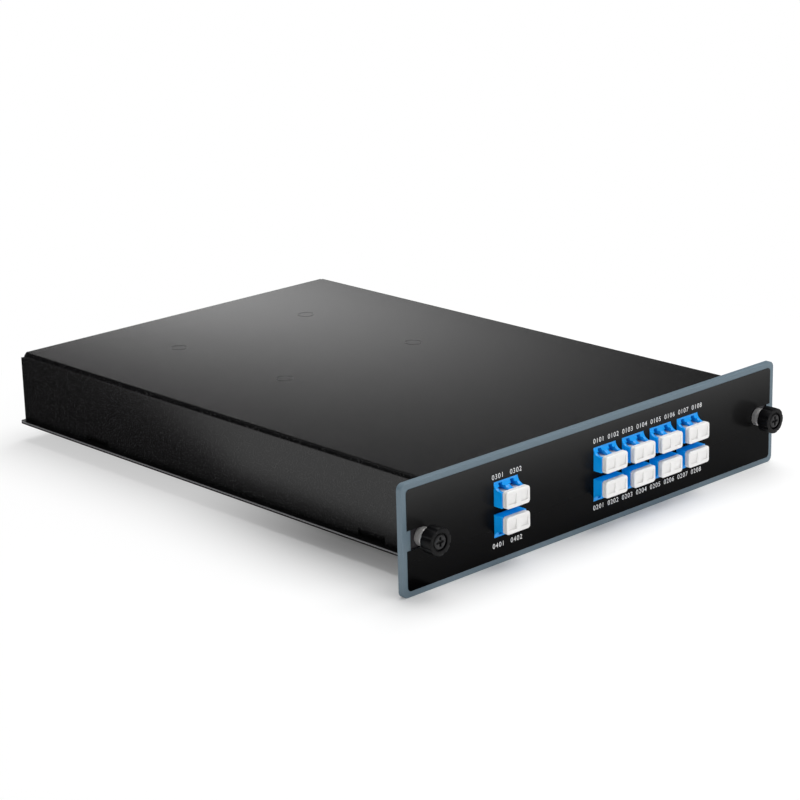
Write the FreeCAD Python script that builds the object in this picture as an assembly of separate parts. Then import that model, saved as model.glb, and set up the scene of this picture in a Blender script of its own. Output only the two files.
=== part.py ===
"""Plug-in wavelength multiplexer module: folded steel box, front panel with ten duplex
fibre adapters and their dust caps, and two sprung captive thumbscrews.

Millimetres. The model is drawn with X = 0 in the middle of the panel, Y = 0 on the panel's
front face (+Y into the box) and Z = 0 on the panel's bottom edge. On export every piece is
moved along Y, so that the origin is under the middle of the whole module.
"""

import FreeCAD, Part
import math
import os

V = FreeCAD.Vector
X_AXIS = V(1, 0, 0)
Y_AXIS = V(0, 1, 0)
Z_AXIS = V(0, 0, 1)

# Front panel and its film
panel_width = 215.0
panel_height = 44.0
panel_thickness = 2.5
panel_corner_radius = 2.5
panel_edge_break = 0.25
film_thickness = 0.2
film_border = 2.4
film_corner_radius = 1.6

# Folded cover and base plate: the box rises and drops from the panel's middle
ear_width = 18.5
body_depth = 260.3
body_rise = 17.7
body_drop = 14.3
sheet_thickness = 1.2
bend_inner_radius = 0.7
base_thickness = 1.2
rail_reach = 3.0
base_corner_radius = 1.6
corner_relief = 2.4
seam_gap = 0.3

# Bottom tabs of the side walls, and the tab of the rear wall
tab_length = 13.0
tab_reach = 9.0
tab_fold = 0.9
tab_relief_width = 0.9
tab_relief_height = 3.2
front_tab_setback = 34.1
rear_tab_setback = 53.6

# Front flanges of the side walls, where the panel is screwed on
flange_reach = 10.0
flange_low_gap = 3.6
flange_high_gap = 4.2
panel_screw_inset = 6.0
panel_screw_end_inset = 5.0

# Fasteners: countersunk M3 and M2.5, self-clinching nuts and standoffs
m3_radius = 1.5
m3_clearance = 0.2
m3_head_radius = 2.75
m3_head_height = 1.15
panel_screw_length = 6.0
base_screw_length = 5.0
nut_radius = 3.1
nut_height = 2.0

# Duplex adapters
adapter_width = 13.0
adapter_height = 9.35
adapter_projection = 4.2
adapter_rear_length = 20.3
adapter_row_pitch = 12.7
adapter_column_pitch = 16.6
right_columns = 4
left_free_share = 0.205
right_free_share = 0.245
cutout_clearance = 0.1
shoulder_reach = 0.9
shoulder_thickness = 1.5
port_pitch = 6.25
port_size = 4.6
port_offset = 1.3
port_wall = 0.8
scoop_radius = 3.3
shelf_level = 1.5
latch_slot_width = 2.0
latch_slot_top = 3.95
latch_slot_depth = 6.0
latch_mouth_width = 3.9
latch_mouth_top = 2.7
latch_mouth_depth = 3.0
sleeve_outer_radius = 1.0
sleeve_inner_radius = 0.625
sleeve_length = 7.0
sleeve_clearance = 0.03

# Dust caps
cap_width = 12.6
cap_height = 6.9
cap_thickness = 2.45
cap_corner_radius = 1.1
cap_seat_gap = 0.05
cap_pocket_width = 4.1
cap_pocket_height = 4.0
cap_pocket_low = 1.5
cap_pocket_depth = 0.9
cap_pocket_shallow = 0.2
cap_prong_size = 4.3
cap_prong_length = 7.5

# Adapter clamp plates with their spacers and screws
clamp_thickness = 1.2
clamp_margin = 4.6
clamp_opening_gap = 0.15
clamp_corner = 1.5
clamp_edge = 0.6
clamp_spacer_radius = 2.4
clamp_screw_radius = 1.25
screw_end_gap = 0.2
clamp_head_radius = 2.2
clamp_head_height = 1.4

# Captive thumbscrews
thumb_inset = 10.3
pocket_height = 7.9
pocket_depth = 0.8
pocket_setback = 1.8
ferrule_radius = 3.65
ferrule_front = 4.5
ferrule_shank_radius = 3.0
ferrule_rear_lip = 0.4
ferrule_bore_radius = 2.75
ferrule_lip_start = 0.5
thumb_radius = 1.5
running_clearance = 0.05
knob_radius = 5.4
knob_rear = 4.1
knob_length = 5.3
knob_cavity_radius = 4.0
knob_web = 1.3
knob_recess_radius = 3.5
knob_recess_depth = 0.9
knob_notches = 8
knob_notch_radius = 1.0
knob_notch_depth = 0.42
knob_edge_break = 0.35
thumb_head_radius = 2.95
thumb_head_height = 0.75
thumb_cross_width = 0.85
thumb_cross_reach = 1.75
thumb_cross_depth = 0.55
ring_thickness = 0.4
ring_radius = 2.9
ring_gap = 0.1
ring_groove_radius = 1.15
ring_mouth = 2.0
thread_length = 3.4
thread_chamfer = 0.4
spring_wire = 0.45
spring_radius = 2.2
spring_turns = 3.5
spring_steps_per_turn = 8
spring_wire_sides = 4
spring_seat_gap = 0.02

# Filter tray under the cover, carried by four standoffs
standoff_setback = 46.8
standoff_radius = 2.7
standoff_length = 14.0
standoff_head_radius = 3.7
standoff_thread = 8.0
boss_wall = 1.4
tray_margin = 7.0
tray_wall = 1.6
tray_floor = 1.6
tray_height = 9.0
tray_corner = 5.0
tray_mouth_width = 26.0
tray_screw_length = 5.0
tray_head_radius = 2.75
tray_head_height = 1.6
tray_mouth_gap = 0.1
filter_banks = 2
filters_per_bank = 8
filter_radius = 2.75
filter_length = 28.0
filter_pitch = 5.9
filter_middle_gap = 8.0
filter_boss_gap = 1.3
filter_rear_margin = 6.3
filter_rest_gap = 0.02
coupler_radius = 1.5
coupler_length = 46.0
coupler_gap = 0.4
coupler_room = 3.8
spool_radius = 10.0
spool_wall = 1.2
spool_height = 5.0
spool_gap = 5.0
spool_overlap = 2.0
anchor_length = 5.0
anchor_height = 4.5

# Pigtail plugs and leads
plug_body = 4.4
plug_insert = 8.0
plug_tail = 3.0
plug_ferrule_radius = 0.6
boot_radius = 1.6
boot_tip_radius = 0.7
boot_length = 11.0
unused_port = (0, "lower", 1)
lead_radius = 0.45
lead_sides = 4
lead_steps = 2
lead_pitch = 1.3
lead_row_gap = 1.6
lead_straight = 24.0
lead_height = 3.2
tie_wall = 0.9
tie_gap = 0.02
tie_length = 3.0
tie_setback = 12.0

# Sides of what is round but small and repeated, and facets of the round stretches that repeat
small_sides = 6
ring_sides = 12
thumb_sides = 24
ferrule_sides = 16
scoop_facets = 3
corner_facets = 2

# Worked out
small_flat = math.cos(math.pi / small_sides)
lead_half = lead_radius * math.cos(math.pi / lead_sides)
half_panel = panel_width / 2
half_body = half_panel - ear_width
middle_z = panel_height / 2
body_top = middle_z + body_rise
bend_outer_radius = bend_inner_radius + sheet_thickness
base_underside = middle_z - body_drop
base_top = base_underside + base_thickness
body_front = panel_thickness
body_rear = body_front + body_depth
flange_bottom = base_top + flange_low_gap
flange_top = body_top - flange_high_gap
adapter_front = -adapter_projection
adapter_rear = panel_thickness + adapter_rear_length
adapter_middle = (adapter_front + adapter_rear) / 2
cap_back = adapter_front - cap_seat_gap
cap_front = cap_back - cap_thickness
knob_front = -(knob_rear + knob_length)
ferrule_rear = panel_thickness + ferrule_rear_lip
ring_front = ferrule_rear + ring_gap
ring_rear = ring_front + ring_thickness
thread_start = ring_rear + ring_gap
thread_end = thread_start + thread_length
clamp_front = panel_thickness + shoulder_thickness
clamp_rear = clamp_front + clamp_thickness
shift_y = -(knob_front + body_rear) / 2

# The adapter groups stand between the flanges, and the width left over is shared out round them
group_margin = adapter_width / 2 + clamp_margin + clamp_head_radius + clamp_edge
right_group_reach = group_margin + (right_columns - 1) / 2 * adapter_column_pitch
between_flanges = half_body - sheet_thickness - flange_reach
free_width = 2 * (between_flanges - group_margin - right_group_reach)
left_group_x = -between_flanges + free_width * left_free_share + group_margin
right_group_x = between_flanges - free_width * right_free_share - right_group_reach
columns = [left_group_x]
column_names = ["left"]
for column in range(right_columns):
    columns.append(right_group_x + (column - (right_columns - 1) / 2) * adapter_column_pitch)
    column_names.append(f"right{column + 1}")

# The tray is as large as what it holds, and the standoffs stand in its corners
boss_radius = standoff_radius + boss_wall
standoff_x = filter_length + filter_middle_gap / 2 + filter_boss_gap + boss_radius
tray_length = (2 * tray_wall + spool_gap + 2 * spool_radius + coupler_room
               + filters_per_bank * filter_pitch + filter_rear_margin)
standoff_rear_y = body_rear - standoff_setback
standoff_front_y = standoff_rear_y - (tray_length - 2 * tray_margin)
filter_bank_pitch = filter_length + filter_middle_gap

rows = [("upper", middle_z + adapter_row_pitch / 2, 1), ("lower", middle_z - adapter_row_pitch / 2, -1)]
thumbs = [("left", -half_panel + thumb_inset), ("right", half_panel - thumb_inset)]


def box(x0, x1, y0, y1, z0, z1):
    """A box between two corners."""
    low = V(min(x0, x1), min(y0, y1), min(z0, z1))
    return Part.makeBox(abs(x1 - x0), abs(y1 - y0), abs(z1 - z0), low)


def rod_y(radius, y0, y1, x=0.0, z=0.0):
    """A cylinder along Y."""
    return Part.makeCylinder(radius, y1 - y0, V(x, y0, z), Y_AXIS)


def flat_face(corners):
    """A flat face between corner points."""
    return Part.Face(Part.makePolygon(corners + corners[:1]))


def corner_ring(middle, across, beside, radius, sides):
    """The corners of a many-sided outline round a middle point."""
    corners = []
    for side in range(sides):
        turn = 2 * math.pi * (side + 0.5) / sides
        corners.append(middle + across * (radius * math.cos(turn)) + beside * (radius * math.sin(turn)))
    return corners


def faceted(rings, flat_sides):
    """A closed solid through rings of corners, with one or two flat faces for each side."""
    faces = [flat_face(list(reversed(rings[0]))), flat_face(rings[-1])]
    for near, far in zip(rings, rings[1:]):
        for side in range(len(near)):
            follow = (side + 1) % len(near)
            if flat_sides:
                faces.append(flat_face([near[side], near[follow], far[follow], far[side]]))
            else:
                faces.append(flat_face([near[side], near[follow], far[follow]]))
                faces.append(flat_face([near[side], far[follow], far[side]]))
    solid = Part.Solid(Part.makeShell(faces))
    if solid.Volume < 0:
        solid.reverse()
    return solid


def small_turned(outline, x, y, z, axis, sides=small_sides, hole=False):
    """A small turned form from (radius, distance) steps along an axis, with few sides.

    The corners lie on the radius for a rod, and the flats touch it for a hole.
    """
    across = X_AXIS if axis is Z_AXIS else Z_AXIS
    beside = axis.cross(across)
    reach = 1 / math.cos(math.pi / sides) if hole else 1.0
    rings = []
    for radius, distance in outline:
        rings.append(corner_ring(V(x, y, z) + axis * distance, across, beside, radius * reach, sides))
    return faceted(rings, True)


def small_hole(radius, low, high, x, y, z, axis):
    """A small hole along an axis, with few sides."""
    return small_turned([(radius, low), (radius, high)], x, y, z, axis, small_sides, True)


def small_tube(outer, inner, low, high, x, y, z, axis, sides=small_sides, loose=False):
    """A small tube with few sides. A loose one clears a round pin of the inner radius."""
    outside = small_turned([(outer, low), (outer, high)], x, y, z, axis, sides)
    inside = small_turned([(inner, low - 1), (inner, high + 1)], x, y, z, axis, sides, loose)
    return outside.cut(inside)


def small_screw(head_radius, head_height, radius, length, x, y, z, axis, flush):
    """A small screw whose head starts at the point: a cone if flush, a flat disc if not."""
    neck_radius = radius if flush else head_radius
    outline = [(head_radius, 0), (neck_radius, head_height)]
    head = small_turned(outline, x, y, z, axis)
    shank = small_turned([(radius, head_height), (radius, length)], x, y, z, axis)
    return join([head, shank])


def faceted_tube(points, radius, sides, end_axis=None):
    """A thin tube through points, with a many-sided section that turns as little as it can.

    With an end axis, both ends are cut square to it.
    """
    rings = []
    across = None
    for index, point in enumerate(points):
        before = points[max(index - 1, 0)]
        after = points[min(index + 1, len(points) - 1)]
        ahead = (after - before).normalize()
        if end_axis is not None and index in (0, len(points) - 1):
            ahead = V(end_axis)
        if across is None:
            across = ahead.cross(X_AXIS if abs(ahead.x) < 0.9 else Z_AXIS)
        across = (across - ahead * across.dot(ahead)).normalize()
        rings.append(corner_ring(point, across, ahead.cross(across), radius, sides))
    return faceted(rings, False)


def join(shapes):
    """One solid from shapes that touch or overlap."""
    whole = shapes[0].fuse(shapes[1:]) if len(shapes) > 1 else shapes[0]
    return whole.removeSplitter()


def edges_along(shape, direction, where):
    """The straight edges along one direction whose middle passes a test."""
    found = []
    for edge in shape.Edges:
        ends = edge.Vertexes
        if len(ends) != 2:
            continue
        run = ends[1].Point - ends[0].Point
        if run.Length < 1e-6 or abs(abs(run.normalize().dot(direction)) - 1) > 1e-6:
            continue
        if where(edge.CenterOfMass):
            found.append(edge)
    return found


def rounded_plate(x0, x1, y0, y1, z0, z1, radius):
    """A plate that faces Y, with its four corners rounded."""
    plate = box(x0, x1, y0, y1, z0, z1)
    return plate.makeFillet(radius, edges_along(plate, Y_AXIS, lambda middle: True))


def profile_x(points, x0, x1):
    """An outline in the YZ plane, drawn out from x0 to x1."""
    corners = [V(x0, y, z) for y, z in points]
    wire = Part.makePolygon(corners + corners[:1])
    return Part.Face(wire).extrude(V(x1 - x0, 0, 0))


def panel_screw_places():
    """Where the countersunk panel screws sit, as (x, z)."""
    x = half_body - sheet_thickness - panel_screw_inset
    heights = (flange_bottom + panel_screw_end_inset, flange_top - panel_screw_end_inset)
    return [(side * x, z) for side in (-1, 1) for z in heights]


def tab_places():
    """The side tabs as (side, middle y)."""
    middles = (body_front + front_tab_setback, body_rear - rear_tab_setback)
    return [(side, y) for side in (-1, 1) for y in middles]


def base_screw_places():
    """Where the base screws sit, as (x, y): one in each tab."""
    reach = half_body - sheet_thickness - tab_reach / 2
    places = [(side * reach, y) for side, y in tab_places()]
    places.append((0.0, body_rear - sheet_thickness - tab_reach / 2))
    return places


def clamp_groups():
    """Each clamp plate's side name and the columns that it spans."""
    return [("left", columns[:1]), ("right", columns[1:])]


def clamp_screw_places(spanned):
    """The two screws of one clamp plate, as (x, z), beside the outer adapters."""
    reach = adapter_width / 2 + clamp_margin
    return [(spanned[0] - reach, middle_z), (spanned[-1] + reach, middle_z)]


def front_panel():
    """Plate with adapter cut-outs, a milled pocket round each thumbscrew and screw holes."""
    plate = rounded_plate(-half_panel, half_panel, 0, panel_thickness, 0, panel_height, panel_corner_radius)
    rim = [edge for edge in plate.Edges if abs(edge.BoundBox.YMin) < 1e-6 and abs(edge.BoundBox.YMax) < 1e-6]
    plate = plate.makeChamfer(panel_edge_break, rim)
    cuts = []
    for x in columns:
        for _, z, _ in rows:
            half_w = adapter_width / 2 + cutout_clearance
            half_h = adapter_height / 2 + cutout_clearance
            cuts.append(box(x - half_w, x + half_w, -1, panel_thickness + 1, z - half_h, z + half_h))
    for side, (_, x) in zip((-1, 1), thumbs):
        cuts.append(small_turned([(ferrule_shank_radius, -1), (ferrule_shank_radius, panel_thickness + 1)],
                                 x, 0, middle_z, Y_AXIS, ferrule_sides))
        cuts.append(thumb_pocket(side, x))
    for x, z in panel_screw_places():
        cuts.append(small_hole(m3_radius + m3_clearance, -1, panel_thickness + 1, x, 0, z, Y_AXIS))
        cuts.append(small_turned([(m3_head_radius, 0), (m3_radius, m3_head_height)], x, 0, z, Y_AXIS))
    return plate.cut(cuts)


def thumb_pocket(side, x):
    """The milled relief round one ferrule, straight-sided towards the panel's end."""
    half = pocket_height / 2
    end = side * (half_panel - film_border - pocket_setback)
    straight = box(end, x, -1, pocket_depth, middle_z - half, middle_z + half)
    return join([straight, small_turned([(half, -1), (half, pocket_depth)], x, 0, middle_z, Y_AXIS, ferrule_sides)])


def panel_film():
    """Printed film on the panel, open round the adapters and notched at the screws."""
    film = rounded_plate(
        -half_panel + film_border, half_panel - film_border, -film_thickness, 0,
        film_border, panel_height - film_border, film_corner_radius)
    cuts = []
    for x in columns:
        for _, z, _ in rows:
            half_w = adapter_width / 2 + cutout_clearance
            half_h = adapter_height / 2 + cutout_clearance
            cuts.append(box(x - half_w, x + half_w, -1, 1, z - half_h, z + half_h))
    for side, (_, x) in zip((-1, 1), thumbs):
        half = pocket_height / 2
        cuts.append(box(side * half_panel, x, -1, 1, middle_z - half, middle_z + half))
        cuts.append(small_turned([(half, -1), (half, 1)], x, 0, middle_z, Y_AXIS, ferrule_sides))
    return film.cut(cuts)


def cover():
    """Top, two sides and rear wall folded from one sheet, with flanges, tabs and reliefs."""
    outer = box(-half_body, half_body, body_front, body_rear, base_top, body_top)
    outer_edges = edges_along(outer, Y_AXIS, lambda middle: middle.z > body_top - 1)
    outer_edges += edges_along(outer, X_AXIS, lambda middle: middle.z > body_top - 1 and middle.y > body_rear - 1)
    outer_edges += edges_along(outer, Z_AXIS, lambda middle: middle.y < body_front + 1)
    outer = outer.makeFillet(bend_outer_radius, outer_edges)
    wall = sheet_thickness
    inner_half = half_body - wall
    inner = box(-inner_half, inner_half, body_front + wall, body_rear - wall, base_top - 1, body_top - wall)
    inner_edges = edges_along(inner, Y_AXIS, lambda middle: middle.z > body_top - wall - 1)
    inner_edges += edges_along(
        inner, X_AXIS, lambda middle: middle.z > body_top - wall - 1 and middle.y > body_rear - wall - 1)
    inner_edges += edges_along(inner, Z_AXIS, lambda middle: middle.y < body_front + wall + 1)
    inner = inner.makeFillet(bend_inner_radius, inner_edges)
    shell = outer.cut(inner)

    cuts = []
    front_clear = inner_half - flange_reach
    cuts.append(box(-front_clear, front_clear, body_front - 1, body_front + wall + 0.01, base_top - 1, body_top - wall))
    cuts.append(box(-half_body + corner_relief, half_body - corner_relief, body_front - 1,
                    body_front + seam_gap, body_top - wall - 0.01, body_top + 1))
    for side in (-1, 1):
        outer_x = side * (half_body + 1)
        flange_x = side * front_clear
        wall_x = side * (inner_half - bend_inner_radius)
        cuts.append(box(flange_x, wall_x, body_front - 1, body_front + wall + 0.01, base_top - 1, flange_bottom))
        cuts.append(box(flange_x, wall_x, body_front - 1, body_front + wall + 0.01, flange_top, body_top - wall))
        relief_x = side * (half_body - corner_relief)
        cuts.append(box(relief_x, outer_x, body_front - 1, body_front + corner_relief,
                        body_top - corner_relief, body_top + 1))
        cuts.append(box(relief_x, outer_x, body_rear - corner_relief, body_rear + 1,
                        body_top - corner_relief, body_top + 1))
        seam_x = side * (inner_half - seam_gap)
        cuts.append(box(seam_x, side * inner_half, body_rear - wall - 1, body_rear + 1,
                        base_top - 1, body_top - corner_relief + 0.5))
    shell = shell.cut(cuts)

    tabs = [side_tab(side, y) for side, y in tab_places()]
    tabs.append(rear_tab())
    shell = join([shell] + tabs)
    holes = [small_turned([(m3_radius, -1), (m3_radius, wall + 1)], x, y, base_top, Z_AXIS)
             for x, y in base_screw_places()]
    reliefs = []
    for side, y in tab_places():
        for end in (-1, 1):
            middle = y + end * (tab_length + tab_relief_width) / 2
            reliefs.append(box(side * (half_body - tab_reach), side * (half_body + 1),
                               middle - tab_relief_width / 2, middle + tab_relief_width / 2,
                               base_top - 1, base_top + tab_relief_height))
    flange_holes = []
    for x, z in panel_screw_places():
        flange_holes.append(small_hole(m3_radius + m3_clearance, -1, wall + 1, x, body_front, z, Y_AXIS))
    standoff_holes = []
    for x, y in standoff_places():
        outline = [(standoff_head_radius, -wall - 1), (standoff_head_radius, 1)]
        standoff_holes.append(small_turned(outline, x, y, body_top, Z_AXIS))
    return shell.cut(holes + reliefs + flange_holes + standoff_holes)


def side_tab(side, y):
    """One bottom tab, folded inwards from a side wall, with its bend."""
    inner_x = side * (half_body - tab_reach)
    tab = box(inner_x, side * half_body, y - tab_length / 2, y + tab_length / 2,
              base_top, base_top + sheet_thickness)
    fold = edges_along(tab, Y_AXIS, lambda middle: abs(middle.x) > half_body - 0.1 and middle.z < base_top + 0.1)
    return tab.makeChamfer(tab_fold, fold)


def rear_tab():
    """The bottom tab of the rear wall."""
    tab = box(-tab_length / 2, tab_length / 2, body_rear - tab_reach, body_rear,
              base_top, base_top + sheet_thickness)
    fold = edges_along(tab, X_AXIS, lambda middle: middle.y > body_rear - 0.1 and middle.z < base_top + 0.1)
    return tab.makeChamfer(tab_fold, fold)


def base_plate():
    """Flat bottom sheet: its long edges stand out as the rails that slide in the rack."""
    half = half_body + rail_reach
    plate = box(-half, half, body_front + seam_gap, body_rear, base_underside, base_top)
    plate = plate.makeFillet(base_corner_radius, edges_along(plate, Z_AXIS, lambda middle: True))
    cuts = []
    for x, y in base_screw_places():
        cuts.append(small_hole(m3_radius + m3_clearance, -1, base_thickness + 1, x, y, base_underside, Z_AXIS))
        outline = [(m3_head_radius, 0), (m3_radius, m3_head_height)]
        cuts.append(small_turned(outline, x, y, base_underside, Z_AXIS))
    return plate.cut(cuts)


def panel_screws():
    """Countersunk screws under the film."""
    return [small_screw(m3_head_radius, m3_head_height, m3_radius, panel_screw_length, x, 0, z, Y_AXIS, True)
            for x, z in panel_screw_places()]


def panel_nuts():
    """Self-clinching nuts behind the cover's front flanges."""
    start = body_front + sheet_thickness
    return [small_tube(nut_radius, m3_radius, 0, nut_height, x, start, z, Y_AXIS)
            for x, z in panel_screw_places()]


def base_screws():
    """Countersunk screws up through the base plate into the tabs."""
    return [small_screw(m3_head_radius, m3_head_height, m3_radius, base_screw_length,
                        x, y, base_underside, Z_AXIS, True)
            for x, y in base_screw_places()]


def adapter(x, z, up):
    """Duplex adapter: latch side scooped down to a shelf in front, two ports right through."""
    half_w = adapter_width / 2
    half_h = adapter_height / 2
    body = box(-half_w, half_w, adapter_front, adapter_rear, -half_h, half_h)
    shoulder_w = half_w + shoulder_reach
    shoulder_h = half_h + shoulder_reach
    shoulder = box(-shoulder_w, shoulder_w, panel_thickness, panel_thickness + shoulder_thickness,
                   -shoulder_h, shoulder_h)
    body = join([body, shoulder])

    scoop_y = -scoop_radius
    scoop_z = shelf_level + scoop_radius
    outline = [(adapter_front - 1, half_h + 1), (adapter_front - 1, shelf_level)]
    for facet in range(scoop_facets + 1):
        turn = math.pi / 2 * facet / scoop_facets
        outline.append((scoop_y + scoop_radius * math.sin(turn), scoop_z - scoop_radius * math.cos(turn)))
    outline.append((0, half_h + 1))
    cuts = [profile_x(outline, -half_w - 1, half_w + 1)]
    port_z = -port_offset
    port_half = port_size / 2
    for port in (-1, 1):
        port_x = port * port_pitch / 2
        for y0, y1 in ((adapter_front - 1, adapter_middle - port_wall), (adapter_middle + port_wall, adapter_rear + 1)):
            cuts.append(box(port_x - port_half, port_x + port_half, y0, y1, port_z - port_half, port_z + port_half))
        sleeve_hole = sleeve_outer_radius + sleeve_clearance
        cuts.append(small_turned([(sleeve_hole, -port_wall - 1), (sleeve_hole, port_wall + 1)],
                                 port_x, adapter_middle, port_z, Y_AXIS, small_sides))
        slot = latch_slot_width / 2
        mouth = latch_mouth_width / 2
        cuts.append(box(port_x - slot, port_x + slot, adapter_front - 1, latch_slot_depth, port_z, latch_slot_top))
        cuts.append(box(port_x - mouth, port_x + mouth, adapter_front - 1, latch_mouth_depth,
                        port_z, latch_mouth_top))
    body = body.cut(cuts)
    if up < 0:
        body.rotate(V(0, 0, 0), Y_AXIS, 180)
    body.translate(V(x, 0, z))
    return body


def port_places(only_used=False):
    """Every port's centre, as (x, z, up), or only those with a pigtail behind them."""
    places = []
    for column, x in enumerate(columns):
        for row, z, up in rows:
            for port in (-1, 1):
                if only_used and (column, row, port) == unused_port:
                    continue
                places.append((x + port * port_pitch / 2, z - up * port_offset, up))
    return places


def sleeves():
    """Ceramic sleeves that line the plugs up, one in each port."""
    half = sleeve_length / 2
    return [small_tube(sleeve_outer_radius, sleeve_inner_radius, -half, half, x, adapter_middle, z, Y_AXIS,
                       small_sides, True)
            for x, z, _ in port_places()]


def cap_outline():
    """The cap's rounded outline, as (x, z) about its middle, with few facets at each corner."""
    outline = []
    for corner, (side_x, side_z) in enumerate(((1, 1), (-1, 1), (-1, -1), (1, -1))):
        middle_x = side_x * (cap_width / 2 - cap_corner_radius)
        middle_z = side_z * (cap_height / 2 - cap_corner_radius)
        for facet in range(corner_facets + 1):
            turn = math.pi / 2 * (corner + facet / corner_facets)
            outline.append((middle_x + cap_corner_radius * math.cos(turn),
                            middle_z + cap_corner_radius * math.sin(turn)))
    return outline


def dust_cap(x, z, up):
    """White duplex cap: a head with two finger pockets, and a prong for each port."""
    half_h = cap_height / 2
    head = flat_face([V(px, cap_front, pz) for px, pz in cap_outline()]).extrude(V(0, cap_thickness, 0))
    pieces = [head]
    pocket_z0 = -half_h + cap_pocket_low
    pocket_z1 = pocket_z0 + cap_pocket_height
    cuts = []
    for side in (-1, 1):
        port_x = side * port_pitch / 2
        prong = box(port_x - cap_prong_size / 2, port_x + cap_prong_size / 2, cap_back,
                    cap_back + cap_prong_length, -cap_prong_size / 2, cap_prong_size / 2)
        pieces.append(prong)
        pocket = profile_x(
            [(cap_front - 1, pocket_z0), (cap_front - 1, pocket_z1),
             (cap_front + cap_pocket_shallow, pocket_z1), (cap_front + cap_pocket_depth, pocket_z0)],
            port_x - cap_pocket_width / 2, port_x + cap_pocket_width / 2)
        cuts.append(pocket)
    cap = join(pieces).cut(cuts)
    cap.translate(V(x, 0, z - up * port_offset))
    return cap


def clamp_plate(spanned):
    """Steel plate behind the adapters' shoulders, with an opening round each adapter."""
    places = clamp_screw_places(spanned)
    x_low = places[0][0] - clamp_head_radius - clamp_edge
    x_high = places[-1][0] + clamp_head_radius + clamp_edge
    z_low = rows[1][1] - adapter_height / 2 - shoulder_reach
    z_high = rows[0][1] + adapter_height / 2 + shoulder_reach
    plate = box(x_low, x_high, clamp_front, clamp_rear, z_low, z_high)
    plate = plate.makeChamfer(clamp_corner, edges_along(plate, Y_AXIS, lambda middle: True))
    cuts = []
    for x in spanned:
        for _, z, _ in rows:
            half_w = adapter_width / 2 + clamp_opening_gap
            half_h = adapter_height / 2 + clamp_opening_gap
            cuts.append(box(x - half_w, x + half_w, clamp_front - 1, clamp_rear + 1, z - half_h, z + half_h))
    for x, z in places:
        cuts.append(small_hole(clamp_screw_radius + m3_clearance, -1, clamp_thickness + 1,
                               x, clamp_front, z, Y_AXIS))
    return plate.cut(cuts)


def clamp_spacers():
    """Round spacers pressed on the panel's rear face, tapped for the clamp screws."""
    made = []
    for _, spanned in clamp_groups():
        for x, z in clamp_screw_places(spanned):
            made.append(small_tube(clamp_spacer_radius, clamp_screw_radius, 0, shoulder_thickness,
                                   x, panel_thickness, z, Y_AXIS))
    return made


def clamp_screws():
    """Pan-head screws that pull the clamp plates on to the spacers."""
    made = []
    length = clamp_rear + clamp_head_height - panel_thickness - screw_end_gap
    for _, spanned in clamp_groups():
        for x, z in clamp_screw_places(spanned):
            made.append(small_screw(clamp_head_radius, clamp_head_height, clamp_screw_radius, length,
                                    x, clamp_rear + clamp_head_height, z, -Y_AXIS, False))
    return made


def ferrule(x):
    """Turned sleeve pressed into the panel: it guides the screw and holds the spring."""
    body = small_turned([(ferrule_radius, -ferrule_front), (ferrule_radius, pocket_depth)],
                        x, 0, middle_z, Y_AXIS, ferrule_sides)
    shank = small_turned([(ferrule_shank_radius, pocket_depth), (ferrule_shank_radius, ferrule_rear)],
                         x, 0, middle_z, Y_AXIS, ferrule_sides)
    bore = small_turned([(ferrule_bore_radius, -ferrule_front - 1), (ferrule_bore_radius, ferrule_lip_start)],
                        x, 0, middle_z, Y_AXIS, ferrule_sides)
    lip = rod_y(thumb_radius + running_clearance, ferrule_lip_start - 1, ferrule_rear + 1, x, middle_z)
    return join([body, shank]).cut([bore, lip])


def knob(x):
    """Black knob: notched rim, recess for the screw head, cup over spring and ferrule."""
    rear = -knob_rear
    web_front = knob_front + knob_recess_depth
    edge_radius = knob_radius - knob_edge_break
    body = small_turned(
        [(edge_radius, knob_front), (knob_radius, knob_front + knob_edge_break), (knob_radius, rear)],
        x, 0, middle_z, Y_AXIS, thumb_sides)
    bore = small_turned([(thumb_radius, knob_front - 1), (thumb_radius, rear + 1)],
                        x, 0, middle_z, Y_AXIS, ring_sides)
    recess = [(knob_recess_radius, knob_front - 1), (knob_recess_radius, web_front)]
    cavity = [(knob_cavity_radius, web_front + knob_web), (knob_cavity_radius, rear + 1)]
    cuts = [bore]
    for outline in (recess, cavity):
        cuts.append(small_turned(outline, x, 0, middle_z, Y_AXIS, thumb_sides))
    for notch in range(knob_notches):
        turn = 2 * math.pi * (notch + 0.5) / knob_notches
        reach = knob_radius + knob_notch_radius - knob_notch_depth
        outline = [(knob_notch_radius, knob_front - 1), (knob_notch_radius, rear + 1)]
        cuts.append(small_turned(outline, x + reach * math.cos(turn), 0, middle_z + reach * math.sin(turn), Y_AXIS))
    return body.cut(cuts)


def thumb_screw(x):
    """Screw of a thumbscrew: cross-recessed head, shank, ring groove and plain thread end."""
    head_back = knob_front + knob_recess_depth
    head_front = head_back - thumb_head_height
    groove_front = ring_front - ring_gap / 2
    tip_radius = thumb_radius - thread_chamfer
    head = small_turned([(thumb_head_radius, head_front), (thumb_head_radius, head_back)],
                        x, 0, middle_z, Y_AXIS, thumb_sides)
    shank = small_turned([(thumb_radius, head_back), (thumb_radius, groove_front)],
                         x, 0, middle_z, Y_AXIS, ring_sides)
    neck = small_turned([(ring_groove_radius, groove_front), (ring_groove_radius, thread_start)],
                        x, 0, middle_z, Y_AXIS, ring_sides)
    thread = rod_y(thumb_radius, thread_start, thread_end, x, middle_z)
    tip = Part.makeCone(thumb_radius, tip_radius, thread_chamfer, V(x, thread_end, middle_z), Y_AXIS)
    half = thumb_cross_width / 2
    deep = head_front + thumb_cross_depth
    cross = join([
        box(x - thumb_cross_reach, x + thumb_cross_reach, head_front - 1, deep, middle_z - half, middle_z + half),
        box(x - half, x + half, head_front - 1, deep, middle_z - thumb_cross_reach, middle_z + thumb_cross_reach)])
    return join([head, shank, neck, thread, tip]).cut(cross)


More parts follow.
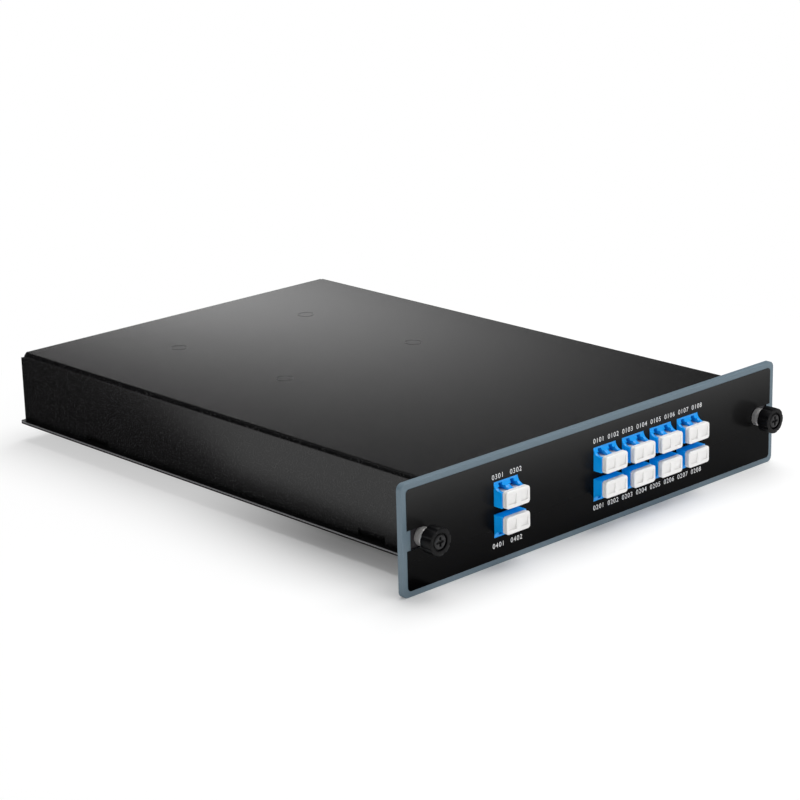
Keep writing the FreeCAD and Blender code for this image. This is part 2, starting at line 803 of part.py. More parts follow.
def retaining_ring(x):
    """Open ring in the screw's groove: it stops the screw against the ferrule."""
    ring = small_tube(ring_radius, ring_groove_radius + running_clearance, 0, ring_thickness,
                      x, ring_front, middle_z, Y_AXIS, ring_sides)
    mouth = box(x - ring_mouth / 2, x + ring_mouth / 2, ring_front - 1, ring_rear + 1,
                middle_z - ring_radius - 1, middle_z)
    return ring.cut(mouth)


def spring(x):
    """Coil spring between the ferrule's lip and the knob's web, at its length at rest."""
    start = ferrule_lip_start - spring_wire / 2 - spring_seat_gap
    end = knob_front + knob_recess_depth + knob_web + spring_wire / 2 + spring_seat_gap
    length = start - end
    steps = int(spring_turns * spring_steps_per_turn)
    points = []
    for step in range(steps + 1):
        turn = 2 * math.pi * step / spring_steps_per_turn
        along = start - length * step / steps
        points.append(V(x + spring_radius * math.cos(turn), along, middle_z + spring_radius * math.sin(turn)))
    return faceted_tube(points, spring_wire / 2, spring_wire_sides)


def standoff_places():
    """The four tray standoffs, as (x, y)."""
    return [(side * standoff_x, y) for side in (-1, 1) for y in (standoff_front_y, standoff_rear_y)]


def standoff_end():
    """The level of the standoffs' lower ends, where the tray is screwed on."""
    return body_top - standoff_length


def tray_standoffs():
    """Self-clinching standoffs: each hexagon head is flush in the cover's top."""
    made = []
    for x, y in standoff_places():
        head = small_turned([(standoff_head_radius, -sheet_thickness), (standoff_head_radius, 0)],
                            x, y, body_top, Z_AXIS)
        stem = small_turned([(standoff_radius, 0), (standoff_radius, standoff_length - sheet_thickness)],
                            x, y, standoff_end(), Z_AXIS)
        hole = small_turned([(m3_radius, -1), (m3_radius, standoff_thread)], x, y, standoff_end(), Z_AXIS)
        made.append(join([head, stem]).cut(hole))
    return made


def tray_box():
    """The tray's outer box: (x0, x1, y0, y1, z0, z1)."""
    top = standoff_end()
    return (-standoff_x - tray_margin, standoff_x + tray_margin, standoff_front_y - tray_margin,
            standoff_rear_y + tray_margin, top - tray_height, top)


def filter_tray():
    """Open moulded tray hung under the standoffs, with bosses for the screws."""
    x0, x1, y0, y1, z0, z1 = tray_box()
    tray = box(x0, x1, y0, y1, z0, z1)
    tray = tray.makeChamfer(tray_corner, edges_along(tray, Z_AXIS, lambda middle: True))
    hollow = box(x0 + tray_wall, x1 - tray_wall, y0 + tray_wall, y1 - tray_wall, z0 + tray_floor, z1 + 1)
    inner_corner = tray_corner - tray_wall * (2 - math.sqrt(2))
    hollow = hollow.makeChamfer(inner_corner, edges_along(hollow, Z_AXIS, lambda middle: True))
    tray = tray.cut(hollow)
    bosses = [small_turned([(boss_radius, 0), (boss_radius, z1 - z0)], x, y, z0, Z_AXIS)
              for x, y in standoff_places()]
    tray = join([tray] + bosses)
    mouth = box(-tray_mouth_width / 2, tray_mouth_width / 2, y0 - 1, y0 + tray_wall + 1,
                z0 + tray_floor, z1 + 1)
    holes = [small_hole(m3_radius + m3_clearance, -1, z1 - z0 + 1, x, y, z0, Z_AXIS)
             for x, y in standoff_places()]
    return tray.cut([mouth] + holes)


def tray_screws():
    """Pan-head screws up through the tray's bosses into the standoffs."""
    start = tray_box()[4] - tray_head_height
    length = standoff_end() + tray_screw_length - start
    return [small_screw(tray_head_radius, tray_head_height, m3_radius, length, x, y, start, Z_AXIS, False)
            for x, y in standoff_places()]


def filter_places():
    """The channel filters' middles, as (x, y, z): two banks side by side on the tray's floor."""
    _, _, _, y1, z0, _ = tray_box()
    z = z0 + tray_floor + filter_radius * small_flat + filter_rest_gap
    places = []
    for bank in range(filter_banks):
        x = (bank - (filter_banks - 1) / 2) * filter_bank_pitch
        for index in range(filters_per_bank):
            y = y1 - tray_wall - filter_rear_margin - filter_radius - index * filter_pitch
            places.append((x, y, z))
    return places


def channel_filters():
    """Three-port filters: plain steel tubes, side by side."""
    half = filter_length / 2
    return [small_turned([(filter_radius, -half), (filter_radius, half)], x, y, z, X_AXIS)
            for x, y, z in filter_places()]


def tap_coupler():
    """Thin tube of the monitor tap, in front of the filters."""
    x, y, _ = filter_places()[-1]
    z = tray_box()[4] + tray_floor + coupler_radius * small_flat + filter_rest_gap
    y = y - filter_radius - coupler_radius - coupler_gap
    half = coupler_length / 2
    return small_turned([(coupler_radius, -half), (coupler_radius, half)], 0, y, z, X_AXIS)


def fibre_spools():
    """Two low rings on the tray's floor that the spare fibre is wound round."""
    made = []
    _, _, y0, _, z0, _ = tray_box()
    floor = z0 + tray_floor
    for side in (-1, 1):
        x = side * (tray_mouth_width / 2 + spool_radius - spool_overlap)
        y = y0 + tray_wall + spool_gap + spool_radius
        made.append(small_tube(spool_radius, spool_radius - spool_wall, 0, spool_height,
                               x, y, floor, Z_AXIS, ring_sides))
    return made


def lead_anchor():
    """Cast block in the tray's mouth where the leads end and the bare fibres go on."""
    _, _, y0, _, z0, _ = tray_box()
    half = tray_mouth_width / 2 - tray_mouth_gap
    floor = z0 + tray_floor
    return box(-half, half, y0, y0 + anchor_length, floor, floor + anchor_height)


def pigtail_plugs():
    """The plugs pushed into the adapters from behind: body, ferrule and tapered boot."""
    made = []
    half = plug_body / 2
    front = adapter_rear - plug_insert
    back = adapter_rear + plug_tail
    for x, z, _ in port_places(only_used=True):
        body = box(x - half, x + half, front, back, z - half, z + half)
        tip = small_turned([(plug_ferrule_radius, adapter_middle), (plug_ferrule_radius, front)],
                           x, 0, z, Y_AXIS, lead_sides)
        boot = small_turned([(boot_radius, back), (boot_tip_radius, back + boot_length)],
                            x, 0, z, Y_AXIS, lead_sides)
        made.append(join([body, tip, boot]))
    return made


def fibre_leads():
    """One 0.9 mm lead for each pigtail, gathered into a flat run that ends at the anchor."""
    start_y = adapter_rear + plug_tail + boot_length
    end_y = tray_box()[2]
    gather_y = end_y - lead_straight
    made = []
    for _, _, up in rows:
        row_ports = sorted(place for place in port_places(only_used=True) if place[2] == up)
        for index, (x, z, _) in enumerate(row_ports):
            end_x = (index - (len(row_ports) - 1) / 2) * lead_pitch
            end_z = lead_level() + up * lead_row_gap / 2
            points = []
            for step in range(lead_steps + 1):
                part = step / lead_steps
                blend = part * part * (3 - 2 * part)
                points.append(V(x + (end_x - x) * blend, start_y + (gather_y - start_y) * part,
                                z + (end_z - z) * blend))
            points.append(V(end_x, end_y, end_z))
            made.append(faceted_tube(points, lead_radius, lead_sides, Y_AXIS))
    return made


def lead_level():
    """The height of the flat run's middle."""
    return tray_box()[4] + tray_floor + lead_height


def lead_tie():
    """Band that holds the flat run together in front of the tray."""
    ports = len(columns) * 2
    half_x = (ports - 1) * lead_pitch / 2 + lead_half + tie_gap
    half_z = lead_row_gap / 2 + lead_half + tie_gap
    y = tray_box()[2] - tie_setback
    z = lead_level()
    band = box(-half_x - tie_wall, half_x + tie_wall, y, y + tie_length,
               z - half_z - tie_wall, z + half_z + tie_wall)
    return band.cut(box(-half_x, half_x, y - 1, y + tie_length + 1, z - half_z, z + half_z))


NODES = {}


def keep(name, made):
    """Keep one node, moved to the module's own origin."""
    solids = made if isinstance(made, list) else [made]
    shape = Part.makeCompound(solids) if len(solids) > 1 else solids[0]
    shape = shape.copy()
    shape.translate(V(0, shift_y, 0))
    NODES[name] = shape


keep("front_panel", front_panel())
keep("panel_film", panel_film())
keep("cover", cover())
keep("base_plate", base_plate())
keep("panel_screws", panel_screws())
keep("panel_nuts", panel_nuts())
keep("base_screws", base_screws())

for name, x in zip(column_names, columns):
    for row, z, up in rows:
        keep(f"adapter_{name}_{row}", adapter(x, z, up))
        keep(f"cap_{name}_{row}", dust_cap(x, z, up))
keep("alignment_sleeves", sleeves())

for name, spanned in clamp_groups():
    keep(f"adapter_clamp_{name}", clamp_plate(spanned))
keep("clamp_spacers", clamp_spacers())
keep("clamp_screws", clamp_screws())

for name, x in thumbs:
    keep(f"{name}_ferrule", ferrule(x))
    keep(f"{name}_knob", knob(x))
    keep(f"{name}_screw", thumb_screw(x))
    keep(f"{name}_retaining_ring", retaining_ring(x))
    keep(f"{name}_spring", spring(x))

keep("tray_standoffs", tray_standoffs())
keep("filter_tray", filter_tray())
keep("tray_screws", tray_screws())
keep("channel_filters", channel_filters())
keep("tap_coupler", tap_coupler())
keep("fibre_spools", fibre_spools())
keep("lead_anchor", lead_anchor())
keep("pigtail_plugs", pigtail_plugs())
keep("fibre_leads", fibre_leads())
keep("lead_tie", lead_tie())

os.makedirs("parts", exist_ok=True)
for name, shape in NODES.items():
    shape.exportStep(f"parts/{name}.step")
    print(name, len(shape.Solids), "solids", round(shape.Volume, 2), "mm3", "valid" if shape.isValid() else "NOT VALID")
print(len(NODES), "nodes")
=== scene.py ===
# %% [markdown]
# # A plug-in wavelength multiplexer, dressed for its portrait
#
# The real thing is a passive fibre module, half a rack wide: a black folded steel box, a
# blue-grey front panel under a glossy black film, ten duplex fibre adapters with white dust
# caps, and a captive thumbscrew at each end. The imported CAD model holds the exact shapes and
# the bodies that move. This scene loads it as a fixed frame, gives every node a finish, and
# swaps the pieces that the eye goes to first, such as caps, adapters and knobs, for finer ones.

# %% Load the frame
import math

import bmesh
import bpy
from mathutils import Matrix, Vector


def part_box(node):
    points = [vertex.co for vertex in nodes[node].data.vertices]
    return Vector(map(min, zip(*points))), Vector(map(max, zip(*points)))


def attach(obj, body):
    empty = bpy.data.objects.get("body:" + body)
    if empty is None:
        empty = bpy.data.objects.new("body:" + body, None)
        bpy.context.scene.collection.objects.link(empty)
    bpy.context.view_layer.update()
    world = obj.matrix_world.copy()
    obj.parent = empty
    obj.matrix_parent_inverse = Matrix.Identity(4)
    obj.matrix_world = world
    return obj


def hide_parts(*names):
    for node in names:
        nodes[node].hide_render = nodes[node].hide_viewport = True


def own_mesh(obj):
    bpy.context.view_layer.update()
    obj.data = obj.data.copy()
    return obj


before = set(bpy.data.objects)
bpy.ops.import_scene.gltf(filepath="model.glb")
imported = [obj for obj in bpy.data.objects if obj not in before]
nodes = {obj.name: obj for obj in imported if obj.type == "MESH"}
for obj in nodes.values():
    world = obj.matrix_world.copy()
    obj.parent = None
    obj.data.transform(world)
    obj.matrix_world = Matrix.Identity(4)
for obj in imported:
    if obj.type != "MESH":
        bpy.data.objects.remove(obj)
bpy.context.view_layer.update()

mm = 0.001

# %% [markdown]
# ## Where things are
#
# Blender could be told every place by number, but then a change in the CAD model would leave
# the pieces behind. So the places are read from the frame: the box of a node gives its
# corners in metres, and the rest follows from them.

# %% Places read from the frame
film_low, film_high = (Vector(corner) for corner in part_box("panel_film"))
film_front = film_low.y
panel_low, panel_high = (Vector(corner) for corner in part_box("front_panel"))
panel_front = panel_low.y
columns = ["left", "right1", "right2", "right3", "right4"]
rows = {"upper": 1, "lower": -1}


def middle_of(node):
    """The middle of a CAD node's box."""
    low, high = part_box(node)
    return (Vector(low) + Vector(high)) / 2


adapter_places = {}
for column in columns:
    for row, up in rows.items():
        adapter_places[f"{column}_{row}"] = (middle_of(f"adapter_{column}_{row}"), up)
thumb_places = {side: middle_of(f"{side}_knob") for side in ("left", "right")}
print("panel front at y", round(panel_front / mm, 2), "mm")

# %% Object helper


def new_object(name, data):
    """An object with its data, put into the scene."""
    thing = bpy.data.objects.new(name, data)
    bpy.context.scene.collection.objects.link(thing)
    return thing


# %% [markdown]
# ## The camera
#
# The photo looks down on the module's front left corner from 17 degrees above, with a long
# lens, so its edges run nearly parallel. A camera can be turned with angles or with a target,
# but a slight roll is easy to lose that way. Here its right-hand and forward directions are
# written down, and the matrix is built from them.

# %% Camera
camera_place = Vector((-0.65279, -0.70955, 0.32152))
camera_right = Vector((0.72447, -0.68888, -0.02405)).normalized()
camera_forward = Vector((0.65351, 0.69753, -0.29390)).normalized()
camera_up = camera_right.cross(camera_forward).normalized()
photo_side = 800
focal_in_pixels = 2359.9

camera_data = bpy.data.cameras.new("camera")
camera_data.sensor_width = 36
camera_data.lens = focal_in_pixels / photo_side * camera_data.sensor_width
camera_data.clip_end = 20
camera = new_object("camera", camera_data)
turn = Matrix((camera_right, camera_up, -camera_forward)).transposed()
camera.matrix_world = Matrix.Translation(camera_place) @ turn.to_4x4()
bpy.context.scene.camera = camera
print("lens", round(camera_data.lens, 1), "mm")

# %% [markdown]
# ## Floor, background and light
#
# The photo has a white ground with one soft shadow. If the lamps alone made the floor white,
# they would also bleach the caps. So the world shows plain white to the camera alone, the floor
# adds some white of its own that lights nothing, and the lamps stay at the level at which a
# colour looks as it is written. Black coats mirror a dim room and stay black from every side.

# %% Node helpers


def sums(tree, operation, first, second=0):
    """The output of a Math node on numbers or other sockets."""
    node = tree.nodes.new("ShaderNodeMath")
    node.operation = operation
    for socket, value in zip(node.inputs, (first, second)):
        if isinstance(value, (int, float)):
            socket.default_value = value
        else:
            tree.links.new(value, socket)
    return node.outputs[0]


def vectors(tree, operation, first, second=(0, 0, 0)):
    """The outputs of a Vector Math node on a socket and a vector."""
    node = tree.nodes.new("ShaderNodeVectorMath")
    node.operation = operation
    tree.links.new(first, node.inputs[0])
    node.inputs[1].default_value = second
    return node.outputs


def ramp(tree, value, start, end, low, high):
    """A smooth ramp from low to high."""
    node = tree.nodes.new("ShaderNodeMapRange")
    node.interpolation_type = "SMOOTHSTEP"
    tree.links.new(value, node.inputs["Value"])
    for name, number in (("From Min", start), ("From Max", end), ("To Min", low), ("To Max", high)):
        node.inputs[name].default_value = number
    return node.outputs["Result"]


def object_place(tree):
    """The Object coordinates in a material's tree."""
    return tree.nodes.new("ShaderNodeTexCoord").outputs["Object"]


def colour_mix(tree, colour, mask):
    """A Mix node whose second colour comes in with the mask; the first is left to set."""
    node = tree.nodes.new("ShaderNodeMix")
    node.data_type = "RGBA"
    node.inputs["B"].default_value = (*colour, 1)
    tree.links.new(mask, node.inputs["Factor"])
    return node


def add_sockets(tree, in_out, kinds):
    """Named inputs or outputs on a node group, from (name, kind) pairs."""
    for name, kind in kinds:
        tree.interface.new_socket(name, in_out=in_out, socket_type="NodeSocket" + kind)


# %% World
world = bpy.data.worlds.new("studio")
bpy.context.scene.world = world
world.use_nodes = True
tree = world.node_tree
ambient_level = 0.28
rays = tree.nodes.new("ShaderNodeLightPath").outputs
seen = sums(tree, "MAXIMUM", rays["Is Camera Ray"], rays["Is Transmission Ray"])
room = tree.nodes["Background"]
room.inputs["Color"].default_value = (1, 1, 1, 1)
tree.links.new(sums(tree, "MAXIMUM", seen, ambient_level), room.inputs["Strength"])
bpy.context.scene.view_settings.view_transform = "Standard"
print("world: ambient", ambient_level)

# %% Floor
floor_half = 6.0
near_white, open_white, far_white = 0.05, 0.5, 1.0
near_reach, fade_start, fade_end = 0.1, 0.1, 0.3
# The floor's own white is painted light. Round the module's front corner it is held back, so the shadow there
# is painted deeper.
dark_middle, dark_reach = (-0.04, -0.1, 0), (0.055, 0.03, 0)
paper_level = 0.92
floor_mesh = bpy.data.meshes.new("floor")
floor_corners = [(x * floor_half, y * floor_half, 0) for x, y in ((-1, -1), (1, -1), (1, 1), (-1, 1))]
floor_mesh.from_pydata(floor_corners, [], [(0, 1, 2, 3)])
floor = new_object("floor", floor_mesh)
floor_paint = bpy.data.materials.new("floor_paper")
floor_paint.use_nodes = True
tree = floor_paint.node_tree
tree.nodes.clear()
off = vectors(tree, "SUBTRACT", object_place(tree), dark_middle)["Vector"]
off = vectors(tree, "ABSOLUTE", off)["Vector"]
gap = vectors(tree, "MAXIMUM", vectors(tree, "SUBTRACT", off, dark_reach)["Vector"])["Vector"]
gap = vectors(tree, "LENGTH", gap)["Value"]
white = ramp(tree, gap, 0, near_reach, near_white, open_white)
white = sums(tree, "MAXIMUM", white, ramp(tree, gap, fade_start, fade_end, 0, far_white))
rays = tree.nodes.new("ShaderNodeLightPath").outputs
shown = sums(tree, "MAXIMUM", rays["Is Camera Ray"], rays["Is Glossy Ray"])
white = sums(tree, "MULTIPLY", white, shown)
paper = tree.nodes.new("ShaderNodeBsdfDiffuse")
paper.inputs["Color"].default_value = (paper_level, paper_level, paper_level, 1)
glow = tree.nodes.new("ShaderNodeEmission")
glow.inputs["Color"].default_value = (1, 1, 1, 1)
mix = tree.nodes.new("ShaderNodeMixShader")
output = tree.nodes.new("ShaderNodeOutputMaterial")
tree.links.new(white, mix.inputs["Fac"])
tree.links.new(paper.outputs[0], mix.inputs[1])
tree.links.new(glow.outputs[0], mix.inputs[2])
tree.links.new(mix.outputs[0], output.inputs["Surface"])
floor_mesh.materials.append(floor_paint)
print("the floor's share of white:", near_white, "at the front corner,", far_white, "far away")

# %% Lamps


def soft_lamp(name, place, aim, size, power, mirrored=True):
    """A square soft box at a place, turned to an aim, that may be left out of reflections."""
    data = bpy.data.lights.new(name, "AREA")
    data.size = size
    data.energy = power
    lamp = new_object(name, data)
    lamp.location = place
    lamp.rotation_euler = (Vector(aim) - Vector(place)).to_track_quat("-Z", "Y").to_euler()
    lamp.visible_glossy = mirrored


soft_lamp("key_above", (0.55, 0.05, 1.45), (0, 0, 0), 1.5, 24)
soft_lamp("fill_front", (0.3, -1.5, 0.5), (0, -0.1, 0.02), 1.0, 7, mirrored=False)
soft_lamp("fill_left", (-1.5, -0.3, 0.6), (-0.1, -0.1, 0.02), 0.8, 6.5, mirrored=False)
print("lamps:", [light.name for light in bpy.data.lights])

# %% [markdown]
# ## Black flags and a glow card
#
# Seen from a low angle, even black powder coat mirrors what stands behind it. Photographers
# put black cards, called flags, just out of the picture, and a small lit card where they want
# a sheen. One flag stands behind the module and one behind its left. A nearly black one lies
# beside the long side, a painted shadow that the wall mirrors as the floor's shade there. The
# lit card in front of the first flag gives the lid its soft glow at the rear. All are stage
# planes that only glossy rays see.
#
# A card that is lit evenly would show its edges in the lid. This one is brightest low down
# along a slanted line and fades out from there.

# %% The flags
away = Vector((camera_forward.x, camera_forward.y, 0)).normalized()
beside = Vector((away.y, -away.x, 0))


def upright(distance, left, right, low, high):
    """The corners of a plane that faces the camera's side of the module."""
    return [away * distance + beside * across + Vector((0, 0, height))
            for across, height in ((left, low), (right, low), (right, high), (left, high))]


def card(name, corners, strength=0):
    """A stage plane that only glossy rays see, black or lit a little, and its material's tree."""
    cloth = bpy.data.materials.new(name)
    cloth.use_nodes = True
    shader = cloth.node_tree.nodes["Principled BSDF"].inputs
    shader["Base Color"].default_value = (0, 0, 0, 1)
    shader["Specular IOR Level"].default_value = 0
    shader["Emission Color"].default_value = (1, 1, 1, 1)
    shader["Emission Strength"].default_value = strength
    mesh = bpy.data.meshes.new(name)
    mesh.from_pydata(corners, [], [tuple(range(len(corners)))])
    mesh.materials.append(cloth)
    plane = new_object(name, mesh)
    for ray in ("camera", "diffuse", "transmission", "shadow"):
        setattr(plane, "visible_" + ray, False)
    return cloth.node_tree


flag_distance, flag_half_width, flag_height = 0.34, 1.2, 0.7
card("standing_flag", upright(flag_distance, -flag_half_width, flag_half_width, 0, flag_height))
left_foot, left_height = [(-0.8, 0.0), (-0.25, 0.6)], 0.9
left_corners = [(x, y, 0) for x, y in left_foot] + [(x, y, left_height) for x, y in reversed(left_foot)]
card("left_flag", left_corners)
# The lying card is a painted shadow: the long side mirrors it as the floor's shade beside the wall.
lying_height, lying_strength = 0.0005, 0.045
lying_outline = ((-0.09, -0.14), (-0.112, -0.14), (-0.122, 0.03), (-0.27, 0.38), (-0.09, 0.5))
card("painted_shadow_flag", [(x, y, lying_height) for x, y in lying_outline], lying_strength)
print("three flags, the first", flag_distance, "m behind the middle")

# %% The glow card
card_distance, card_left, card_right, card_bottom, card_top = 0.33, -0.42, 0.4, 0.05, 0.19
glow_slope, glow_shift, glow_reach = 3.2, 0.389, 0.215
glow_low, glow_high, glow_strength, glow_rest = 0.085, 0.17, 1.6, 0.03
tree = card("glow_card", upright(card_distance, card_left, card_right, card_bottom, card_top))
place = object_place(tree)
slanted = vectors(tree, "DOT_PRODUCT", place, beside - Vector((0, 0, glow_slope)))["Value"]
off = sums(tree, "ABSOLUTE", sums(tree, "ADD", slanted, glow_shift))
height = vectors(tree, "DOT_PRODUCT", place, (0, 0, 1))["Value"]
light = sums(tree, "MULTIPLY", ramp(tree, off, 0, glow_reach, 1, 0),
             ramp(tree, height, glow_low, glow_high, glow_strength, glow_rest))
tree.links.new(light, tree.nodes["Principled BSDF"].inputs["Emission Strength"])
print("a lit card", card_distance, "m behind the middle")

# %% [markdown]
# ## Shared surface effects
#
# Powder coat, moulded plastic and plated steel all have a fine grain, only at other sizes. It
# could be wired into each material again and again. One node group with named inputs does it
# once: it puts out a height for the bump, a speckle for the colour and a roughness that
# changes a little over the surface. It reads Object coordinates, so the grain has its real
# size on every piece.

# %% Grain group


def grain_group():
    """A node group with fine grain, speckle and slow change of roughness."""
    group = bpy.data.node_groups.new("fine_grain", "ShaderNodeTree")
    inputs = ("Grain Scale", "Speckle", "Roughness", "Roughness Change")
    add_sockets(group, "INPUT", [(name, "Float") for name in inputs])
    add_sockets(group, "OUTPUT", [(name, "Float") for name in ("Height", "Speckle", "Roughness")])
    link = group.links.new
    entry = group.nodes.new("NodeGroupInput").outputs
    leave = group.nodes.new("NodeGroupOutput").inputs
    place = object_place(group)
    fine = group.nodes.new("ShaderNodeTexNoise")
    fine.inputs["Detail"].default_value = 3.0
    fine.inputs["Roughness"].default_value = 0.6
    link(place, fine.inputs["Vector"])
    link(entry["Grain Scale"], fine.inputs["Scale"])
    link(fine.outputs["Fac"], leave["Height"])
    spots = group.nodes.new("ShaderNodeMapRange")
    spots.inputs["From Min"].default_value = 0.55
    spots.inputs["From Max"].default_value = 0.72
    link(fine.outputs["Fac"], spots.inputs["Value"])
    link(sums(group, "MULTIPLY", spots.outputs["Result"], entry["Speckle"]), leave["Speckle"])
    slow = group.nodes.new("ShaderNodeTexNoise")
    slow.inputs["Scale"].default_value = 22.0
    slow.inputs["Detail"].default_value = 2.0
    link(place, slow.inputs["Vector"])
    centred = sums(group, "SUBTRACT", slow.outputs["Fac"], 0.5)
    changed = sums(group, "MULTIPLY", centred, entry["Roughness Change"])
    link(sums(group, "ADD", changed, entry["Roughness"]), leave["Roughness"])
    return group


fine_grain = grain_group()
print("group", fine_grain.name, "with", len(fine_grain.nodes), "nodes")

# %% [markdown]
# ## Finishes
#
# Each finish on the real module is a Principled material with the grain group in front of it.
# What is the same all over, such as metallic or the specular level, is set on the shader's own socket.
# The speckle mixes two colours, so even black paint has some life.

# %% Finish helper


def finish(name, colour, speck_colour, grain_scale, speckle, roughness, change, bump, **sockets):
    """A Principled material with grain: two colours, a roughness that changes, and a bump in metres."""
    material = bpy.data.materials.new(name)
    material.use_nodes = True
    tree = material.node_tree
    shader = tree.nodes["Principled BSDF"]
    grain = tree.nodes.new("ShaderNodeGroup")
    grain.node_tree = fine_grain
    for socket, value in zip(grain.inputs, (grain_scale, speckle, roughness, change)):
        socket.default_value = value
    colours = colour_mix(tree, speck_colour, grain.outputs["Speckle"])
    colours.inputs["A"].default_value = (*colour, 1)
    tree.links.new(colours.outputs["Result"], shader.inputs["Base Color"])
    tree.links.new(grain.outputs["Roughness"], shader.inputs["Roughness"])
    height = tree.nodes.new("ShaderNodeBump")
    height.inputs["Strength"].default_value = 1.0
    height.inputs["Distance"].default_value = bump
    tree.links.new(grain.outputs["Height"], height.inputs["Height"])
    tree.links.new(height.outputs["Normal"], shader.inputs["Normal"])
    for socket, value in sockets.items():
        shader.inputs[socket.replace("_", " ")].default_value = value
    return material


# %% Coats and paints
# After the two colours: grain scale, speckle, roughness, its change, and the bump.
black_powder = ((0.004, 0.004, 0.0042), (0.055, 0.055, 0.056), 1650, 0.7, 0.23, 0.01, 34e-6)
powder_coat = finish("powder_coat", *black_powder, Specular_IOR_Level=0.35)
plate_coat = finish("plate_coat", *black_powder, Specular_IOR_Level=0.35)
rim_coat = finish("rim_coat", (0.03, 0.03, 0.031), (0.05, 0.05, 0.05),
                  1400, 0.7, 0.34, 0.06, 10e-6, Specular_IOR_Level=0.4)
panel_paint = finish("panel_paint", (0.13, 0.182, 0.22), (0.17, 0.225, 0.265),
                     2200, 0.4, 0.42, 0.08, 10e-6, Specular_IOR_Level=0.3)
film_gloss = finish("film_gloss", (0.0008, 0.0008, 0.001), (0.0015, 0.0015, 0.0015),
                    2600, 0.4, 0.2, 0.05, 2e-6, Specular_IOR_Level=0.04)
print(len(bpy.data.materials), "materials, with the floor's and the cards'")

# %% Plastics and ceramic
adapter_blue = finish("adapter_blue", (0.0, 0.37, 1.0), (0.0, 0.42, 1.0),
                      1800, 0.4, 0.32, 0.08, 6e-6)
cap_white = finish("cap_white", (0.86, 0.85, 0.84), (0.9, 0.9, 0.89),
                   1500, 0.4, 0.42, 0.08, 6e-6)
knob_black = finish("knob_black", (0.004, 0.004, 0.0045), (0.012, 0.012, 0.012),
                    1700, 0.5, 0.4, 0.1, 10e-6, Specular_IOR_Level=0.12)
tray_plastic = finish("tray_plastic", (0.035, 0.035, 0.038), (0.06, 0.06, 0.062),
                      1300, 0.5, 0.5, 0.1, 10e-6)
plug_blue = finish("plug_blue", (0.02, 0.12, 0.5), (0.03, 0.16, 0.56),
                   1800, 0.4, 0.35, 0.08, 6e-6)
lead_yellow = finish("lead_yellow", (0.82, 0.58, 0.05), (0.87, 0.66, 0.1),
                     1800, 0.4, 0.38, 0.08, 6e-6)
tie_plastic = finish("tie_plastic", (0.75, 0.75, 0.72), (0.8, 0.8, 0.78),
                     1500, 0.4, 0.45, 0.08, 6e-6)
ceramic = finish("ceramic", (0.86, 0.85, 0.8), (0.9, 0.89, 0.85), 2600, 0.3, 0.15, 0.05, 1e-6)
print(len(bpy.data.materials), "materials")

# %% Metals
screw_black = finish("screw_black", (0.02, 0.02, 0.021), (0.05, 0.05, 0.05),
                     2500, 0.5, 0.33, 0.1, 4e-6, Metallic=0.6)
nickel = finish("nickel", (0.78, 0.77, 0.76), (0.84, 0.83, 0.82),
                2600, 0.4, 0.3, 0.03, 0.6e-6, Metallic=0.72)
zinc = finish("zinc", (0.6, 0.6, 0.58), (0.7, 0.7, 0.68),
              1900, 0.5, 0.34, 0.12, 6e-6, Metallic=1.0)
spring_steel = finish("spring_steel", (0.42, 0.42, 0.43), (0.5, 0.5, 0.5),
                      2400, 0.4, 0.3, 0.1, 4e-6, Metallic=1.0)
bright_steel = finish("bright_steel", (0.68, 0.68, 0.69), (0.74, 0.74, 0.75),
                      2600, 0.4, 0.22, 0.08, 3e-6, Metallic=1.0)
black_zinc = finish("black_zinc", (0.02, 0.02, 0.021), (0.06, 0.06, 0.06),
                    1900, 0.5, 0.4, 0.1, 6e-6, Metallic=0.5)
print(len(bpy.data.materials), "materials")

# %% [markdown]
# ## Where a finish changes on one piece
#
# Three pieces have more than one look. The film has a painted reflection, a fade from dark grey
# at the top to black at the bottom. The panel is blue-grey, but the two reliefs milled into it round
# the thumbscrews are dark, partly their own dark floor and partly painted shade from the knobs. The
# base plate has a painted highlight, a thin light line along its edge. All follow a place on the
# piece, so the materials read Object coordinates and mix in a second colour there.

# %% Second colour helper


def second_colour(material, colour, mask):
    """Mixes a second colour into a finish where the mask's output is 1."""
    tree = material.node_tree
    shader = tree.nodes["Principled BSDF"]
    first = shader.inputs["Base Color"].links[0].from_socket
    mixed = colour_mix(tree, colour, mask)
    tree.links.new(first, mixed.inputs["A"])
    tree.links.new(mixed.outputs["Result"], shader.inputs["Base Color"])


def place_axes(tree):
    """The X, Y and Z outputs of a finish's Object coordinates."""
    parts = tree.nodes.new("ShaderNodeSeparateXYZ")
    tree.links.new(object_place(tree), parts.inputs["Vector"])
    return parts.outputs


# %% Painted reflection on the film, as a fade
tree = film_gloss.node_tree
height = place_axes(tree)["Z"]
share = sums(tree, "DIVIDE", sums(tree, "SUBTRACT", height, film_low.z), film_high.z - film_low.z)
# The film's fade is a painted reflection: dark grey at the top, black at the bottom.
second_colour(film_gloss, (0.034, 0.034, 0.034), sums(tree, "POWER", share, 2.6))
print("film fades over", round((film_high.z - film_low.z) / mm, 1), "mm")

# %% Dark reliefs of the panel, partly painted shade
relief_half_height, relief_inner, relief_outer, relief_edge = 4.0, 92.0, 103.5, 0.05
tree = panel_paint.node_tree
axes = place_axes(tree)
off_middle = sums(tree, "ABSOLUTE", sums(tree, "SUBTRACT", axes["Z"], (panel_low.z + panel_high.z) / 2))
along = sums(tree, "ABSOLUTE", axes["X"])
mask = sums(tree, "LESS_THAN", off_middle, relief_half_height * mm)
for test, value, limit in (("GREATER_THAN", along, relief_inner * mm), ("LESS_THAN", along, relief_outer * mm),
                           ("GREATER_THAN", axes["Y"], panel_front + relief_edge * mm)):
    mask = sums(tree, "MULTIPLY", mask, sums(tree, test, value, limit))
# The reliefs' dark is partly their own dark floor and partly painted shade from the knobs.
second_colour(panel_paint, (0.02, 0.018, 0.022), mask)
print("dark from", relief_inner, "to", relief_outer, "mm at each end")
